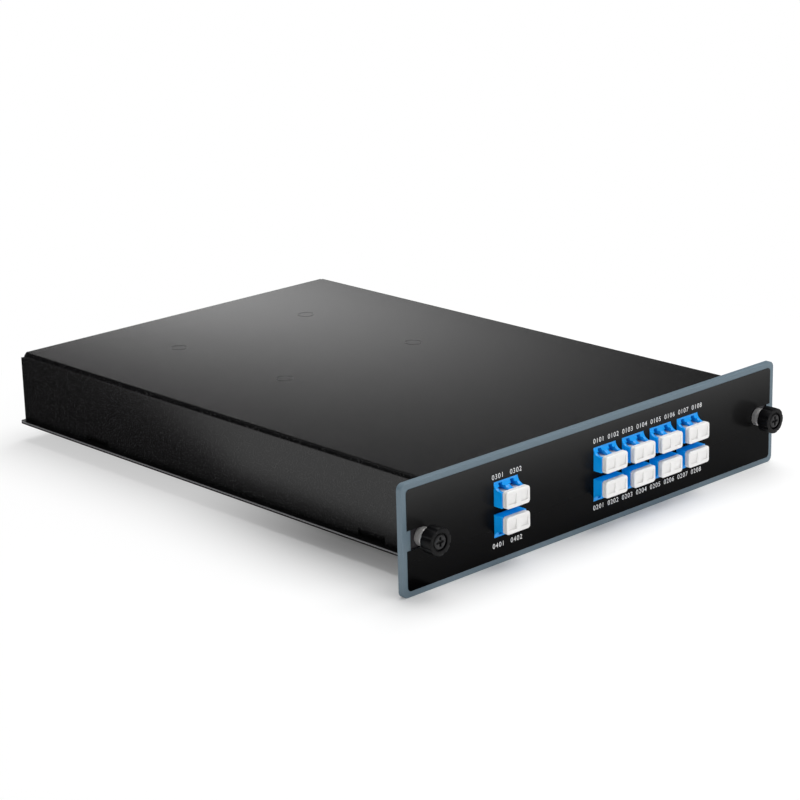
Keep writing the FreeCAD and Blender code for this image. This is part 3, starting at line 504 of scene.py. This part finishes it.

# %% Painted highlight along the base plate's edge
edge_band = 0.05
plate_low, plate_high = (Vector(corner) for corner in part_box("base_plate"))
tree = plate_coat.node_tree
axes = place_axes(tree)
edge = sums(tree, "GREATER_THAN", sums(tree, "ABSOLUTE", axes["X"]), plate_high.x - edge_band * mm)
painted_highlight = sums(tree, "GREATER_THAN", axes["Z"], (plate_low.z + plate_high.z) / 2)
# A painted highlight: a light grey line along the upper half of the plate's edge, where light catches it.
second_colour(plate_coat, (0.17, 0.17, 0.175), sums(tree, "MULTIPLY", edge, painted_highlight))
print("a bare line along the plate's edges at x", round(plate_high.x / mm, 1), "mm")

# %% Finish of each node
node_finishes = {
    "front_panel": panel_paint, "panel_film": film_gloss, "cover": powder_coat, "base_plate": plate_coat,
    "panel_screws": zinc, "panel_nuts": zinc, "base_screws": black_zinc, "alignment_sleeves": ceramic,
    "adapter_clamp_left": zinc, "adapter_clamp_right": zinc, "clamp_spacers": zinc, "clamp_screws": zinc,
    "tray_standoffs": powder_coat, "filter_tray": tray_plastic, "tray_screws": zinc,
    "channel_filters": bright_steel, "tap_coupler": bright_steel, "fibre_spools": tray_plastic,
    "lead_anchor": tray_plastic, "pigtail_plugs": plug_blue, "fibre_leads": lead_yellow,
    "lead_tie": tie_plastic,
}
for place in adapter_places:
    node_finishes[f"adapter_{place}"] = adapter_blue
    node_finishes[f"cap_{place}"] = cap_white
for side in thumb_places:
    node_finishes[f"{side}_ferrule"] = nickel
    node_finishes[f"{side}_knob"] = knob_black
    node_finishes[f"{side}_screw"] = screw_black
    node_finishes[f"{side}_retaining_ring"] = spring_steel
    node_finishes[f"{side}_spring"] = spring_steel
for name, node in nodes.items():
    for slot in node.material_slots:
        slot.material = node_finishes[name]
print("finishes on", len(node_finishes), "nodes")

# %% [markdown]
# ## Making a piece
#
# Every finer piece goes the same way: a bmesh is turned into a mesh with its faces pointing
# outwards, gets its finish, is shaded smooth except at real edges, rides on a body, and hides
# the CAD node that it stands for. One helper does these steps, so no piece misses one.

# %% Piece helpers


def plain_mesh(bm, name):
    """A mesh from a bmesh, which is freed."""
    mesh = bpy.data.meshes.new(name)
    bm.to_mesh(mesh)
    bm.free()
    return mesh


def make_piece(bm, name, material, body, replaced, sharp=35):
    """A shown piece from a bmesh: it rides on a body and stands for CAD nodes."""
    bmesh.ops.remove_doubles(bm, verts=bm.verts, dist=0.001 * mm)
    bmesh.ops.recalc_face_normals(bm, faces=bm.faces)
    mesh = plain_mesh(bm, name)
    mesh.materials.append(material)
    mesh.polygons.foreach_set("use_smooth", [True] * len(mesh.polygons))
    mesh.set_sharp_from_angle(angle=math.radians(sharp))
    piece = new_object(name, mesh)
    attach(piece, body)
    if replaced:
        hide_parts(*replaced)
    return piece


def evaluated(thing):
    """A bmesh of an object with its modifiers applied; the object is taken away."""
    graph = bpy.context.evaluated_depsgraph_get()
    mesh = bpy.data.meshes.new_from_object(thing.evaluated_get(graph))
    bm = bmesh.new()
    bm.from_mesh(mesh)
    bpy.data.objects.remove(thing)
    bpy.data.meshes.remove(mesh)
    return bm


def bridge(bm, near, far):
    """Faces between two rings of vertices, where a ring of one vertex is a pole."""
    count = max(len(near), len(far))
    for index in range(count):
        follow = (index + 1) % count
        corners = [near[index % len(near)], near[follow % len(near)],
                   far[follow % len(far)], far[index % len(far)]]
        bm.faces.new(list(dict.fromkeys(corners)))


def quarter_turn(facets):
    """The cosine and sine at each step of a quarter turn."""
    angles = [math.pi / 2 * step / facets for step in range(facets + 1)]
    return [(math.cos(angle), math.sin(angle)) for angle in angles]


# %% [markdown]
# ## Cutting with solids
#
# An adapter or a cap is easiest to think of as a block with cutters taken away, as a mould
# maker would see it. Blender's Boolean modifier does that with its exact solver. The block and
# its cutters are throw-away objects: only the evaluated mesh is kept.

# %% Block and cutters


def block(x0, x1, y0, y1, z0, z1):
    """A bmesh box from millimetres."""
    bm = bmesh.new()
    made = bmesh.ops.create_cube(bm, size=1.0)
    for vert in made["verts"]:
        vert.co = Vector((
            (x0 if vert.co.x < 0 else x1) * mm, (y0 if vert.co.y < 0 else y1) * mm,
            (z0 if vert.co.z < 0 else z1) * mm))
    return bm


def prism(near, far):
    """A bmesh prism between two outlines of places in metres."""
    bm = bmesh.new()
    ends = [[bm.verts.new(place) for place in outline] for outline in (near, far)]
    bm.faces.new(ends[0])
    bm.faces.new(list(reversed(ends[1])))
    bridge(bm, ends[1], ends[0])
    bmesh.ops.recalc_face_normals(bm, faces=bm.faces)
    return bm


def drawn_out(outline, low, high, along):
    """A bmesh prism: an outline in millimetres, drawn out along X or Y."""
    ends = [[Vector((level, a, b) if along == "X" else (a, level, b)) * mm for a, b in outline]
            for level in (low, high)]
    return prism(*ends)


def carved(base, added, cut, edge_radius=0):
    """A bmesh of a base with solids added and cutters taken away, and its edges softened."""
    body = new_object("carving", plain_mesh(base, "carving"))
    tools = []
    for bm, operation in [(bm, "UNION") for bm in added] + [(bm, "DIFFERENCE") for bm in cut]:
        tool = new_object("tool", plain_mesh(bm, "tool"))
        tools.append(tool)
        modifier = body.modifiers.new("cut", "BOOLEAN")
        modifier.operation = operation
        modifier.solver = "EXACT"
        modifier.object = tool
    if edge_radius:
        bevel = body.modifiers.new("soft_edges", "BEVEL")
        bevel.width = edge_radius * mm
        bevel.segments = 2
        bevel.limit_method = "ANGLE"
        bevel.angle_limit = math.radians(40)
        bevel.use_clamp_overlap = True
    result = evaluated(body)
    for tool in tools:
        bpy.data.objects.remove(tool)
    return result


# %% [markdown]
# ## The cover's folded tabs
#
# At two places along each side the wall is folded in to a tab, between two relief slots. The
# CAD fold is a plain chamfer. Here that stretch of wall is cut out of the cover's own mesh and
# a rounded fold is put in its place, which turns away from the light and looks black.

# %% Cover with rounded folds
sheet, fold_radius, tab_length = 1.2, 3.1, 13.0
tab_setbacks = {"front": 34.1, "rear": 53.6}
fold_arc = quarter_turn(12)
body_low, body_high = (Vector(corner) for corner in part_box("cover"))
cover_node = nodes["cover"]
cover_bm = bmesh.new()
cover_bm.from_mesh(cover_node.data)
cover_bm.transform(cover_node.matrix_world)
wall_x, tab_z = body_high.x / mm, body_low.z / mm
gaps, folds = [], []
for tab_y in (body_low.y / mm + tab_setbacks["front"], body_high.y / mm - tab_setbacks["rear"]):
    tab_start, tab_end = tab_y - tab_length / 2, tab_y + tab_length / 2
    for side in (-1, 1):
        inner, outer = sorted((side * (wall_x - fold_radius), side * (wall_x + 1)))
        gaps.append(block(inner, outer, tab_start, tab_end, tab_z - 1, tab_z + fold_radius))
        outline = [(side * (wall_x - fold_radius + radius * across), tab_z + fold_radius - radius * down)
                   for radius, arc in ((fold_radius, fold_arc), (fold_radius - sheet, fold_arc[::-1]))
                   for across, down in arc]
        folds.append(drawn_out(outline, tab_start, tab_end, "Y"))
opened = carved(cover_bm, [], gaps)
make_piece(carved(opened, folds, []), "cover_folding", powder_coat, "module",
           ["cover"], sharp=12)
print(len(folds), "folds")

# %% [markdown]
# ## Rows of the same piece
#
# The adapters stand in two rows, and the lower row is turned half round. Four round heads in
# the lid are a grid of two by two. Both follow the same rule, so one Geometry Nodes tree sets
# them out: a line of points, the piece on each, and a second row that may be turned. The tree
# takes the finished piece as its geometry and puts out real mesh with its finish.

# %% Row tree and its end


def realized_and_painted(tree, entry, geometry):
    """The end of a node tree: real mesh with its material, put out."""
    real = tree.nodes.new("GeometryNodeRealizeInstances")
    tree.links.new(geometry, real.inputs["Geometry"])
    paint = tree.nodes.new("GeometryNodeSetMaterial")
    tree.links.new(real.outputs["Geometry"], paint.inputs["Geometry"])
    tree.links.new(entry["Material"], paint.inputs["Material"])
    leave = tree.nodes.new("NodeGroupOutput")
    tree.links.new(paint.outputs["Geometry"], leave.inputs["Geometry"])


def row_tree():
    """A node tree that sets its own geometry out in two rows."""
    tree = bpy.data.node_groups.new("two_rows", "GeometryNodeTree")
    add_sockets(tree, "INPUT", (
        ("Geometry", "Geometry"), ("Count", "Int"), ("Start", "Vector"), ("Step", "Vector"),
        ("Row Step", "Vector"), ("Row Turn", "Vector"), ("Material", "Material")))
    add_sockets(tree, "OUTPUT", (("Geometry", "Geometry"),))
    link = tree.links.new
    entry = tree.nodes.new("NodeGroupInput").outputs
    line = tree.nodes.new("GeometryNodeMeshLine")
    link(entry["Count"], line.inputs["Count"])
    link(entry["Start"], line.inputs["Start Location"])
    link(entry["Step"], line.inputs["Offset"])
    second = tree.nodes.new("GeometryNodeTransform")
    link(line.outputs["Mesh"], second.inputs["Geometry"])
    link(entry["Row Step"], second.inputs["Translation"])
    both = tree.nodes.new("GeometryNodeJoinGeometry")
    for points, turned in ((line.outputs["Mesh"], False), (second.outputs["Geometry"], True)):
        placed = tree.nodes.new("GeometryNodeInstanceOnPoints")
        link(points, placed.inputs["Points"])
        link(entry["Geometry"], placed.inputs["Instance"])
        if turned:
            turn = tree.nodes.new("FunctionNodeEulerToRotation")
            link(entry["Row Turn"], turn.inputs["Euler"])
            link(turn.outputs["Rotation"], placed.inputs["Rotation"])
        link(placed.outputs["Instances"], both.inputs["Geometry"])
    realized_and_painted(tree, entry, both.outputs["Geometry"])
    return tree


def grown(tree, values, name, seed=None):
    """A bmesh from a node tree with its named inputs set, and a seed mesh if it takes one."""
    holder = new_object(name + "_seed", seed or bpy.data.meshes.new(name + "_seed"))
    modifier = holder.modifiers.new("grow", "NODES")
    modifier.node_group = tree
    for item in tree.interface.items_tree:
        if item.in_out == "INPUT" and item.name in values:
            modifier[item.identifier] = values[item.name]
    return evaluated(holder)


rows_tree = row_tree()
print("tree", rows_tree.name, "with", len(rows_tree.nodes), "nodes")

# %% Rims of the four heads in the lid
rim_radius, rim_wire, rim_sink = 3.55, 0.12, 0.05
heads_low, heads_high = (Vector(corner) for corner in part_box("tray_standoffs"))
# The standoffs' box ends at the corners of their hexagons, so that reach leads to the middles.
hexagon_reach = 3.7
reach = Vector((hexagon_reach * math.cos(math.radians(30)), hexagon_reach, 0)) * mm
rim = bmesh.new()
rim_steps, wire_steps = 48, 8
rings = []
for step in range(rim_steps):
    turn = 2 * math.pi * step / rim_steps
    rings.append([])
    for point in range(wire_steps):
        tilt = 2 * math.pi * point / wire_steps
        out = (rim_radius + rim_wire * math.cos(tilt)) * mm
        place = (out * math.cos(turn), out * math.sin(turn), rim_wire * mm * math.sin(tilt))
        rings[-1].append(rim.verts.new(place))
for near, far in zip(rings, rings[1:] + rings[:1]):
    bridge(rim, far, near)
first, last = heads_low + reach, heads_high - reach
first.z = last.z - rim_sink * mm
values = {"Count": 2, "Start": first, "Step": (last.x - first.x, 0, 0),
          "Row Step": (0, last.y - first.y, 0), "Material": rim_coat}
rims = grown(rows_tree, values, "rims", plain_mesh(rim, "rim"))
make_piece(rims, "head_rims", rim_coat, "module", [])
print("rims at", [round(value / mm, 1) for value in (*first, *last)])

# %% [markdown]
# ## Duplex adapters
#
# Each blue adapter is moulded in one piece. In front of the panel its latch side is scooped
# down in a quarter round to a flat shelf, and each port opens upwards in a stepped window for
# the plug's latch. The CAD solid has a few flat facets in that scoop, which is right for a
# part that repeats ten times. Here the same cutters get sixteen facets and the edges a small
# radius, so that they catch the light as moulded plastic does.

# %% Adapter sizes, in millimetres
adapter_low, adapter_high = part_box("adapter_left_upper")
adapter_width = (adapter_high[0] - adapter_low[0]) / mm
adapter_front = (adapter_low[1] - panel_front) / mm
adapter_rear = (adapter_high[1] - panel_front) / mm
shoulder_reach = 0.9
shoulder_start = (panel_high.y - panel_front) / mm
shoulder_thickness = 1.5
half_width = adapter_width / 2 - shoulder_reach
half_height = (adapter_high[2] - adapter_low[2]) / mm / 2 - shoulder_reach
port_pitch = 6.25
port_places = (-port_pitch / 2, port_pitch / 2)
port_half = 2.3
port_offset = 1.3
port_wall = 0.8
scoop_radius = 3.3
shelf_level = 1.5
slot_half, slot_top, slot_depth = 1.0, 3.95, 6.0
mouth_half, mouth_top, mouth_depth = 1.95, 2.7, 3.0
adapter_middle = (adapter_front + adapter_rear) / 2
print("adapter:", round(half_width * 2, 2), "x", round(half_height * 2, 2), "mm")

# %% Scoop and windows
scoop_facets = 16
scoop_outline = [(adapter_front - 1, half_height + 1), (adapter_front - 1, shelf_level)]
for cosine, sine in quarter_turn(scoop_facets):
    scoop_outline.append((-scoop_radius + scoop_radius * sine,
                          shelf_level + scoop_radius - scoop_radius * cosine))
scoop_outline.append((0, half_height + 1))
adapter_cuts = [drawn_out(scoop_outline, -half_width - 1, half_width + 1, "X")]
low, high = -port_offset - port_half, -port_offset + port_half
for port_x in port_places:
    for half, start, end, bottom, top in (
            (port_half, adapter_front - 1, adapter_middle - port_wall, low, high),
            (port_half, adapter_middle + port_wall, adapter_rear + 1, low, high),
            (slot_half, adapter_front - 1, slot_depth, -port_offset, slot_top),
            (mouth_half, adapter_front - 1, mouth_depth, -port_offset, mouth_top)):
        adapter_cuts.append(block(port_x - half, port_x + half, start, end, bottom, top))
print(len(adapter_cuts), "cutters for an adapter")

# %% The ten adapters
adapter_block = block(-half_width, half_width, adapter_front, adapter_rear, -half_height, half_height)
wide, high = half_width + shoulder_reach, half_height + shoulder_reach
shoulder = block(-wide, wide, shoulder_start, shoulder_start + shoulder_thickness, -high, high)
adapter_mesh = plain_mesh(carved(adapter_block, [shoulder], adapter_cuts, edge_radius=0.12), "adapter")
print("adapter mesh:", len(adapter_mesh.polygons), "faces")
for group, members in (("left", columns[:1]), ("right", columns[1:])):
    upper, lower = adapter_places[f"{members[0]}_upper"][0], adapter_places[f"{members[0]}_lower"][0]
    last = adapter_places[f"{members[-1]}_upper"][0]
    step = (last.x - upper.x) / max(1, len(members) - 1)
    values = {"Count": len(members), "Start": (upper.x, panel_front, upper.z), "Step": (step, 0, 0),
              "Row Step": (0, 0, lower.z - upper.z), "Row Turn": (0, math.pi, 0), "Material": adapter_blue}
    rows_bm = grown(rows_tree, values, f"{group}_adapters", adapter_mesh)
    make_piece(rows_bm, f"{group}_adapters", adapter_blue, "module",
               [f"adapter_{column}_{row}" for column in members for row in rows])
print("adapters set out in two groups")

# %% [markdown]
# ## Dust caps
#
# A white duplex cap closes both ports of an adapter. Its face is softly rounded, a groove runs
# round its side, and two finger pockets slope inwards so that a nail can pull it out. The head
# is built as rings of one rounded outline, set in or out at each depth, because that gives the
# rim a true radius. Only the pockets are cut.

# %% Cap sizes and outline
cap_half_width = 6.3
cap_half_height = 3.45
cap_corner = 1.25
cap_corner_facets = 8
cap_low, cap_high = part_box("cap_left_upper")
cap_front = (cap_low[1] - panel_front) / mm
cap_thickness = 2.45
cap_back = cap_front + cap_thickness
prong_half = 2.15
prong_end = (cap_high[1] - panel_front) / mm
print("cap front", round(cap_front, 2), "back", round(cap_back, 2), "prongs to", round(prong_end, 2), "mm")


def cap_ring(inset):
    """The cap's rounded outline, set in by an inset, as (x, z) in millimetres."""
    points = []
    corner = cap_corner - min(inset, cap_corner * 0.8)
    for quarter, (side_x, side_z) in enumerate(((1, 1), (-1, 1), (-1, -1), (1, -1))):
        middle_x = side_x * (cap_half_width - inset - corner)
        middle_z = side_z * (cap_half_height - inset - corner)
        for facet in range(cap_corner_facets + 1):
            angle = math.pi / 2 * (quarter + facet / cap_corner_facets)
            points.append((middle_x + corner * math.cos(angle), middle_z + corner * math.sin(angle)))
    return points


# %% Cap head
face_radius, face_facets, back_chamfer = 0.45, 5, 0.25
groove_setback, groove_width, groove_depth, groove_slope = 1.0, 0.4, 0.35, 0.06
groove_front = cap_front + groove_setback
groove_back = groove_front + groove_width
head_rings = [(cap_back, back_chamfer), (cap_back - back_chamfer, 0.0), (groove_back, 0.0),
              (groove_back - groove_slope, groove_depth), (groove_front + groove_slope, groove_depth),
              (groove_front, 0.0)]
for cosine, sine in quarter_turn(face_facets):
    head_rings.append((cap_front + face_radius - face_radius * sine, face_radius - face_radius * cosine))
cap_head = bmesh.new()
loops = [[cap_head.verts.new(Vector((x, y, z)) * mm) for x, z in cap_ring(inset)] for y, inset in head_rings]
for near, far in zip(loops, loops[1:]):
    bridge(cap_head, near, far)
cap_head.faces.new(loops[0])
cap_head.faces.new(list(reversed(loops[-1])))
bmesh.ops.recalc_face_normals(cap_head, faces=cap_head.faces)
print("cap head:", len(head_rings), "rings")

# %% Pockets and prongs
pocket_half, pocket_low, pocket_height = 2.05, -1.95, 4.0
pocket_shallow, pocket_deep, prong_root = 0.3, 0.85, 0.3
slope = [(cap_front - 1, pocket_low), (cap_front - 1, pocket_low + pocket_height),
         (cap_front + pocket_shallow, pocket_low + pocket_height), (cap_front + pocket_deep, pocket_low)]
cap_cuts = [drawn_out(slope, port_x - pocket_half, port_x + pocket_half, "X") for port_x in port_places]
cap_added = [block(port_x - prong_half, port_x + prong_half, cap_back - prong_root, prong_end,
                   -prong_half, prong_half) for port_x in port_places]
cap_bm = carved(cap_head, cap_added, cap_cuts, edge_radius=0.1)
for place, (middle, up) in adapter_places.items():
    one = cap_bm.copy()
    spot = Vector((middle.x, panel_front, middle.z - up * port_offset * mm))
    bmesh.ops.translate(one, verts=one.verts, vec=spot)
    make_piece(one, f"cap_{place}_moulding", cap_white, f"cap_{place}", [f"cap_{place}"])
print("cap mesh:", len(cap_bm.faces), "faces")
cap_bm.free()

# %% [markdown]
# ## Turned pieces
#
# Ferrule, knob and screw are turned on a lathe, so they are rings round one axis. The helper
# takes a closed section as (radius, depth) pairs and a function that may change the radius
# with the angle. That function is all the knob needs for its eight grip notches, and the screw
# for its thread.

# %% Lathe helper


def lathe(section, axis, count, shape=None, closed=True):
    """A bmesh turned round an axis along Y: sections in millimetres, poles where the radius is 0."""
    bm = bmesh.new()
    rings = []
    for radius, depth in section:
        if radius == 0:
            rings.append([bm.verts.new((axis.x, panel_front + depth * mm, axis.z))])
            continue
        ring = []
        for index in range(count):
            angle = 2 * math.pi * index / count
            reach = (shape(radius, depth, angle) if shape else radius) * mm
            ring.append(bm.verts.new((axis.x + reach * math.cos(angle), panel_front + depth * mm,
                                      axis.z + reach * math.sin(angle))))
        rings.append(ring)
    pairs = list(zip(rings, rings[1:]))
    if closed:
        pairs.append((rings[-1], rings[0]))
    for near, far in pairs:
        bridge(bm, near, far)
    return bm


# %% Knob sizes, in millimetres from the panel's front face
knob_low, knob_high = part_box("left_knob")
knob_front = (knob_low[1] - panel_front) / mm
knob_rear = (knob_high[1] - panel_front) / mm
knob_radius = 5.4
notch_count, notch_radius, notch_depth = 8, 1.0, 0.42
recess_radius, recess_depth = 3.5, 0.9
cavity_radius, web = 4.0, 1.3
bore_radius = 1.5
print("knob from", round(knob_front, 2), "to", round(knob_rear, 2), "mm")


def notched(radius, depth, angle):
    """The knob's radius at an angle: a round notch is cut wherever the rim would reach into it."""
    if radius < knob_radius - 0.6:
        return radius
    step = 2 * math.pi / notch_count
    off = angle % step - step / 2
    distance = knob_radius + notch_radius - notch_depth
    inside = notch_radius ** 2 - (distance * math.sin(off)) ** 2
    if inside <= 0:
        return radius
    return min(radius, distance * math.cos(off) - math.sqrt(inside))


# %% The two knobs
recess_floor = knob_front + recess_depth
knob_section = [
    (bore_radius, recess_floor), (recess_radius - 0.1, recess_floor), (recess_radius, recess_floor - 0.1),
    (recess_radius, knob_front + 0.15), (recess_radius + 0.15, knob_front), (knob_radius - 0.35, knob_front),
    (knob_radius - 0.1, knob_front + 0.1), (knob_radius, knob_front + 0.35), (knob_radius, knob_rear - 0.35),
    (knob_radius - 0.1, knob_rear - 0.1), (knob_radius - 0.35, knob_rear), (cavity_radius, knob_rear),
    (cavity_radius, recess_floor + web), (bore_radius, recess_floor + web)]
for side, axis in thumb_places.items():
    bm = lathe(knob_section, axis, notch_count * 24, notched)
    make_piece(bm, f"{side}_knob_turning", knob_black, f"{side}_thumbscrew", [f"{side}_knob"],
               sharp=30)
print("knobs turned")

# %% The two ferrules
ferrule_radius, ferrule_front = 3.65, -4.45
shank_radius, pocket_depth = 3.0, 0.8
spring_bore, lip_start, lip_bore = 2.75, 0.5, 1.55
ferrule_rear = (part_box("left_ferrule")[1][1] - panel_front) / mm
mark_front, mark_rear, mark_slope, mark_depth = -2.35, -1.85, 0.1, 0.2
ferrule_section = [
    (lip_bore, lip_start), (spring_bore, lip_start), (spring_bore, ferrule_front),
    (ferrule_radius - 0.2, ferrule_front), (ferrule_radius, ferrule_front + 0.2),
    (ferrule_radius, mark_front), (ferrule_radius - mark_depth, mark_front + mark_slope),
    (ferrule_radius - mark_depth, mark_rear - mark_slope), (ferrule_radius, mark_rear),
    (ferrule_radius, pocket_depth - 0.1),
    (ferrule_radius - 0.1, pocket_depth), (shank_radius, pocket_depth), (shank_radius, ferrule_rear - 0.15),
    (shank_radius - 0.15, ferrule_rear), (lip_bore, ferrule_rear)]
for side, axis in thumb_places.items():
    make_piece(lathe(ferrule_section, axis, 72), f"{side}_ferrule_turning", nickel, "module",
               [f"{side}_ferrule"], sharp=30)
print("ferrules turned")

# %% [markdown]
# ## Thumbscrews
#
# The screw's head sits in the knob's recess with a cross for a driver, and its end carries a
# real M3 thread. A thread could be drawn as rings, but rings never climb. Here the radius of
# the lathe depends on both depth and angle, so the ridge winds round like a true thread.

# %% Thread shape
screw_low, screw_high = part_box("left_screw")
head_front = (screw_low[1] - panel_front) / mm
screw_end = (screw_high[1] - panel_front) / mm
head_radius = 2.95
screw_radius, groove_radius = 1.5, 1.15
groove_start, thread_start, thread_length = 2.95, 3.5, 3.4
thread_pitch, thread_depth, thread_fade = 0.5, 0.28, 0.3


def threaded(radius, depth, angle):
    """The screw's radius: between the groove and the tip it winds as a thread."""
    threaded_end = thread_start + thread_length + 0.5
    if not thread_start + 0.01 < depth < threaded_end or radius < groove_radius - 0.1:
        return radius
    phase = ((depth - thread_start) / thread_pitch - angle / (2 * math.pi)) % 1
    ridge = 1 - abs(2 * phase - 1)
    fade = min(1.0, (depth - thread_start) / thread_fade)
    return min(radius, screw_radius - thread_depth * fade * (1 - ridge))


screw_section = [(0, head_front), (head_radius - 0.5, head_front), (head_radius - 0.15, head_front + 0.15),
                 (head_radius, head_front + 0.4), (head_radius, recess_floor), (screw_radius, recess_floor),
                 (screw_radius, groove_start), (groove_radius, groove_start), (groove_radius, thread_start),
                 (screw_radius, thread_start)]
thread_steps = 56
for step in range(1, thread_steps + 1):
    screw_section.append((screw_radius, thread_start + thread_length * step / thread_steps))
screw_section += [(screw_radius - 0.4, screw_end), (0, screw_end)]
print("screw section:", len(screw_section), "points")

# %% Cross recess
cross_reach, cross_half, cross_depth, cross_taper = 1.9, 0.52, 0.9, 0.75
cross_lead, cross_flare = 0.5, 1.25


def cross_cutter(axis, along_x):
    """One arm pair of the cross, as a wedge that narrows inwards."""
    wide, high = (cross_reach, cross_half) if along_x else (cross_half, cross_reach)
    ends = []
    for depth, scale in ((head_front - cross_lead, cross_flare), (head_front + cross_depth, cross_taper)):
        middle = Vector((axis.x, panel_front + depth * mm, axis.z))
        ends.append([middle + Vector((x * wide, 0, z * high)) * scale * mm
                     for x, z in ((-1, -1), (1, -1), (1, 1), (-1, 1))])
    return prism(*ends)


for side, axis in thumb_places.items():
    screw = lathe(screw_section, axis, 48, threaded, closed=False)
    bmesh.ops.recalc_face_normals(screw, faces=screw.faces)
    cut = [cross_cutter(axis, True), cross_cutter(axis, False)]
    make_piece(carved(screw, [], cut, edge_radius=0.03), f"{side}_screw_turning", screw_black,
               f"{side}_thumbscrew", [f"{side}_screw"], sharp=40)
print("screws turned")

# %% [markdown]
# ## Springs
#
# A coil spring follows a rule, so Geometry Nodes make it: a spiral curve, a round wire drawn
# along it, and a material. Its sizes are named inputs. The result is turned into a plain mesh,
# because the export needs one. When the knob is pressed the coil shortens.

# %% Spring tree


def spring_tree():
    """A node tree that winds a wire round the Y axis."""
    tree = bpy.data.node_groups.new("coil_spring", "GeometryNodeTree")
    add_sockets(tree, "INPUT", (
        ("Radius", "Float"), ("Wire", "Float"), ("Turns", "Float"), ("Length", "Float"),
        ("Place", "Vector"), ("Material", "Material")))
    add_sockets(tree, "OUTPUT", (("Geometry", "Geometry"),))
    link = tree.links.new
    entry = tree.nodes.new("NodeGroupInput").outputs
    spiral = tree.nodes.new("GeometryNodeCurveSpiral")
    spiral.inputs["Resolution"].default_value = 40
    for name, socket in (("Turns", "Rotations"), ("Radius", "Start Radius"), ("Radius", "End Radius"),
                         ("Length", "Height")):
        link(entry[name], spiral.inputs[socket])
    wire = tree.nodes.new("GeometryNodeCurvePrimitiveCircle")
    wire.inputs["Resolution"].default_value = 12
    link(entry["Wire"], wire.inputs["Radius"])
    tube = tree.nodes.new("GeometryNodeCurveToMesh")
    tube.inputs["Fill Caps"].default_value = True
    link(spiral.outputs["Curve"], tube.inputs["Curve"])
    link(wire.outputs["Curve"], tube.inputs["Profile Curve"])
    move = tree.nodes.new("GeometryNodeTransform")
    move.inputs["Rotation"].default_value = (math.radians(-90), 0, 0)
    link(tube.outputs["Mesh"], move.inputs["Geometry"])
    link(entry["Place"], move.inputs["Translation"])
    realized_and_painted(tree, entry, move.outputs["Geometry"])
    return tree


# %% The two springs
coil_tree = spring_tree()
coil_radius, coil_turns, wire_radius, spring_gap = 2.2, 4.0, 0.225, 0.02
spring_front = recess_floor + web + wire_radius + spring_gap
spring_rear = lip_start - wire_radius - spring_gap
for side, axis in thumb_places.items():
    values = {"Radius": coil_radius * mm, "Wire": wire_radius * mm, "Turns": coil_turns,
              "Length": (spring_rear - spring_front) * mm,
              "Place": (axis.x, panel_front + spring_front * mm, axis.z), "Material": spring_steel}
    coil = make_piece(grown(coil_tree, values, f"{side}_spring_coil"), f"{side}_spring_coil", spring_steel,
                      "module", [f"{side}_spring"])
    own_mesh(coil)
    print(side, "spring:", len(coil.data.polygons), "faces")

# %% [markdown]
# ## Port numbers
#
# The real film is printed with a label over or under each port. Print has no thickness worth
# cutting, so flat text would do, but text objects are not meshes. Each number is made as text,
# turned into a mesh a hair thick, and laid on the film. The numbers say group and port only.

# %% Number helper
ink_white = finish("ink_white", (0.85, 0.85, 0.85), (0.9, 0.9, 0.9), 2600, 0.3, 0.5, 0.05, 1e-6)
ink_thickness = 0.02
number_height, digit_share, digit_spacing = 2.0, 0.72, 1.2


def number_mesh(text, x, z, height):
    """A bmesh of a number, centred on a place of the film, in millimetres from the origin."""
    curve = bpy.data.curves.new("number", "FONT")
    curve.body = text
    curve.align_x = "CENTER"
    curve.size = height * mm / digit_share
    curve.space_character = digit_spacing
    curve.extrude = ink_thickness * mm / 2
    bm = evaluated(new_object("number", curve))
    bmesh.ops.rotate(bm, verts=bm.verts, cent=(0, 0, 0), matrix=Matrix.Rotation(math.pi / 2, 3, "X"))
    bmesh.ops.translate(bm, verts=bm.verts, vec=(x * mm, film_front - ink_thickness * mm / 2, z * mm))
    return bm


# %% Numbers over and under the ports
label_low, label_high = 7.4, 34.8
left_label_low, left_label_high = 6.9, 34.2
right_start, right_pitch = -1.8, 8.46
labels = []
for index in range(8):
    x = right_start + right_pitch * index
    labels += [(f"010{index + 1}", x, label_high), (f"020{index + 1}", x, label_low)]
for index, x in enumerate((-58.0, -48.3)):
    labels += [(f"030{index + 1}", x, left_label_high), (f"040{index + 1}", x, left_label_low)]
numbers = bmesh.new()
for text, x, z in labels:
    spare = plain_mesh(number_mesh(text, x, z, number_height), "number")
    numbers.from_mesh(spare)
    bpy.data.meshes.remove(spare)
make_piece(numbers, "port_numbers", ink_white, "module", [])
print(len(labels), "numbers")
